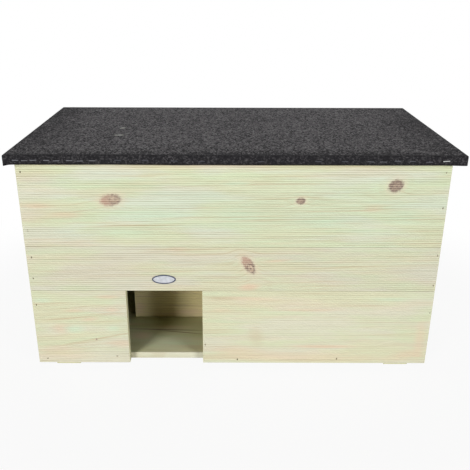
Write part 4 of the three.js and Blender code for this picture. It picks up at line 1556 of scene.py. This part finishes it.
class HOUSE_OT_oval_plate(bpy.types.Operator):
    """Press the blank oval plate above the doorway"""

    bl_idname = "house.oval_plate"
    bl_label = "Oval plate"

    def execute(self, context):
        plate = context.scene.house_plate
        field = metal_finish("plate_field", plate.field_tone, 0.35, 0.5, metallic=0.0, dull=0.05)
        rim = metal_finish("plate_rim", plate.rim_tone, 0.35, 0.5, metallic=0.0, dull=0.1)
        bm = bmesh.new()
        made = bmesh.ops.create_circle(bm, cap_ends=True, radius=0.5, segments=56)["verts"]
        bmesh.ops.scale(bm, vec=(plate.width, plate.height, 1), verts=made)
        face = bm.faces[:][0]
        front = moved_face(bmesh.ops.extrude_face_region(bm, geom=[face])["geom"])
        bmesh.ops.translate(bm, vec=(0, 0, plate.thickness), verts=front.verts)
        bmesh.ops.recalc_face_normals(bm, faces=bm.faces)
        broken_edges(bm, front.edges[:], PLATE_EDGE)
        bm.normal_update()
        front = max(bm.faces, key=lambda item: item.calc_area() if item.normal.z > 0.9 else 0)
        bmesh.ops.inset_region(bm, faces=[front], thickness=PLATE_RIM, depth=0)
        bmesh.ops.inset_region(bm, faces=[front], thickness=FIELD_DEPTH, depth=-FIELD_DEPTH)
        for item in bm.faces:
            item.material_index = 1
        front.material_index = 0
        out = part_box("front_middle_board")[0].y
        place = Matrix.Translation((HOUSE_X + plate.across, out, plate.up)) @ Matrix.Rotation(QUARTER, 4, "X")
        bmesh.ops.transform(bm, matrix=place, verts=bm.verts)
        place_piece(bm, "oval_plate", [field, rim], "house")
        return {"FINISHED"}


# Stage

# Height of the point that the lamps look at, the floor's radius, and where its plain white takes over
LAMP_AIM = 0.15
FLOOR_RADIUS = 30
WHITE_FROM = 0.40
WHITE_ALL = 0.70


def soft_lamp(name, watts, size, turn, rise, distance):
    """A square lamp that looks at the middle of the house, just above the doorway."""
    light = bpy.data.lights.new(name, "AREA")
    light.energy = watts
    light.size = size
    lamp = linked(name, light)
    away = Vector((math.sin(turn) * math.cos(rise), -math.cos(turn) * math.cos(rise), math.sin(rise)))
    lamp.location = Vector((0, 0, LAMP_AIM)) + distance * away
    lamp.rotation_euler = away.to_track_quat("Z", "Y").to_euler()


def seen_directly(tree):
    """One for camera, mirror and glass rays, which see the white surroundings, and nought for all others."""
    path = tree.nodes.new("ShaderNodeLightPath")
    sums = [tree.nodes.new("ShaderNodeMath") for _ in range(2)]
    for node in sums:
        node.operation = "MAXIMUM"
    tree.links.new(path.outputs["Is Camera Ray"], sums[0].inputs[0])
    tree.links.new(path.outputs["Is Glossy Ray"], sums[0].inputs[1])
    tree.links.new(sums[0].outputs[0], sums[1].inputs[0])
    tree.links.new(path.outputs["Is Transmission Ray"], sums[1].inputs[1])
    return sums[1].outputs[0]


def white_floor(stage):
    """A pale floor that looks white where the light reaches it, and keeps the shadow of the house."""
    r = Recipe("studio_floor")
    r.finish(stage.floor_tone, 0.9)
    tree, output = r.tree, r.tree.nodes["Material Output"]
    away = root_of_squares(r, r.place["X"], r.place["Y"])
    glow = tree.nodes.new("ShaderNodeEmission")
    white = r.smooth(away, WHITE_FROM, WHITE_ALL, stage.floor_glow, 1.0)
    mixed = tree.nodes.new("ShaderNodeMixShader")
    tree.links.new(r.times(white, seen_directly(tree)), mixed.inputs[0])
    tree.links.new(r.shader.outputs[0], mixed.inputs[1])
    tree.links.new(glow.outputs[0], mixed.inputs[2])
    tree.links.new(mixed.outputs[0], output.inputs["Surface"])
    return r.material


def lay_floor(stage):
    """Lays the round studio floor."""
    bm = bmesh.new()
    bmesh.ops.create_circle(bm, cap_ends=True, radius=FLOOR_RADIUS, segments=64)
    mesh = finished_mesh(bm, "studio_floor")
    mesh.materials.append(white_floor(stage))
    floor = linked("studio_floor", mesh)


def hang_lamps(stage):
    """Hangs the two main lamps and the weaker one behind the house."""
    for name, watts, turn in (
        ("left_lamp", stage.left_power, -stage.left_turn),
        ("right_lamp", stage.right_power, stage.right_turn),
    ):
        soft_lamp(name, watts, stage.lamp_size, turn, stage.lamp_rise, stage.lamp_distance)
    soft_lamp(
        "rear_lamp", stage.rear_power, stage.rear_size, 2 * QUARTER, stage.rear_rise, stage.rear_distance
    )


def fill_air(stage):
    """Makes the surroundings white to look at, and a weak even light on the house."""
    world = bpy.data.worlds.new("studio_air")
    world.use_nodes = True
    bpy.context.scene.world = world
    tree = world.node_tree
    even = tree.nodes["Background"]
    even.inputs["Color"].default_value = (1, 1, 1, 1)
    strength = tree.nodes.new("ShaderNodeMapRange")
    strength.inputs["To Min"].default_value = stage.fill
    strength.inputs["To Max"].default_value = 1
    tree.links.new(seen_directly(tree), strength.inputs["Value"])
    tree.links.new(strength.outputs[0], even.inputs["Strength"])


def set_camera(stage):
    """Sets the camera where the photograph was taken from."""
    camera_data = bpy.data.cameras.new("studio_camera")
    camera_data.lens = stage.lens
    camera_data.shift_x = stage.shift
    camera = linked("studio_camera", camera_data)
    camera.location = (HOUSE_X + stage.across, WALL_LOW.y - stage.back, stage.up)
    turn = Matrix.Rotation(QUARTER - stage.tilt, 3, "X") @ Matrix.Rotation(stage.roll, 3, "Z")
    camera.rotation_euler = turn.to_euler()
    bpy.context.scene.camera = camera


class HOUSE_OT_stage(bpy.types.Operator):
    """Set up the floor, the lamps, the even light and the camera"""

    bl_idname = "house.stage"
    bl_label = "Stage"

    def execute(self, context):
        stage = context.scene.house_stage
        lay_floor(stage)
        hang_lamps(stage)
        fill_air(stage)
        set_camera(stage)
        context.scene.view_settings.view_transform = "Standard"
        return {"FINISHED"}


# Add-on

OPERATORS = (
    HOUSE_OT_outer_boards, HOUSE_OT_inner_boards, HOUSE_OT_floor_boards, HOUSE_OT_runners,
    HOUSE_OT_roof_panel, HOUSE_OT_roof_felt, HOUSE_OT_hinges, HOUSE_OT_hinge_screws, HOUSE_OT_nails,
    HOUSE_OT_staples, HOUSE_OT_oval_plate, HOUSE_OT_stage,
)
GROUPS = {
    "house_wood": HouseWood, "house_roof": HouseRoof, "house_metal": HouseMetal, "house_plate": HousePlate,
    "house_stage": HouseStage,
}


class HOUSE_PT_sidebar(bpy.types.Panel):
    """Lists the steps and the sizes of the hedgehog house"""

    bl_idname = "HOUSE_PT_sidebar"
    bl_label = "Hedgehog House"
    bl_space_type = "VIEW_3D"
    bl_region_type = "UI"
    bl_category = "Hedgehog House"

    def draw(self, context):
        """Draws a button for each step and a box for each group of sizes."""
        for operator in OPERATORS:
            self.layout.operator(operator.bl_idname)
        for name, group in GROUPS.items():
            box = self.layout.box()
            for item in group.__annotations__:
                box.prop(getattr(context.scene, name), item)


def register():
    """Adds the sizes, the steps and the panel to Blender."""
    for group in GROUPS.values():
        bpy.utils.register_class(group)
    for name, group in GROUPS.items():
        setattr(bpy.types.Scene, name, PointerProperty(type=group))
    for operator in OPERATORS:
        bpy.utils.register_class(operator)
    bpy.utils.register_class(HOUSE_PT_sidebar)


def unregister():
    """Takes them out again."""
    bpy.utils.unregister_class(HOUSE_PT_sidebar)
    for operator in reversed(OPERATORS):
        bpy.utils.unregister_class(operator)
    for name in GROUPS:
        delattr(bpy.types.Scene, name)
    for group in GROUPS.values():
        bpy.utils.unregister_class(group)


def main():
    """Registers the add-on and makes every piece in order."""
    register()
    for operator in OPERATORS:
        category, _, call = operator.bl_idname.partition(".")
        getattr(getattr(bpy.ops, category), call)()


if __name__ == "__main__":
    main()
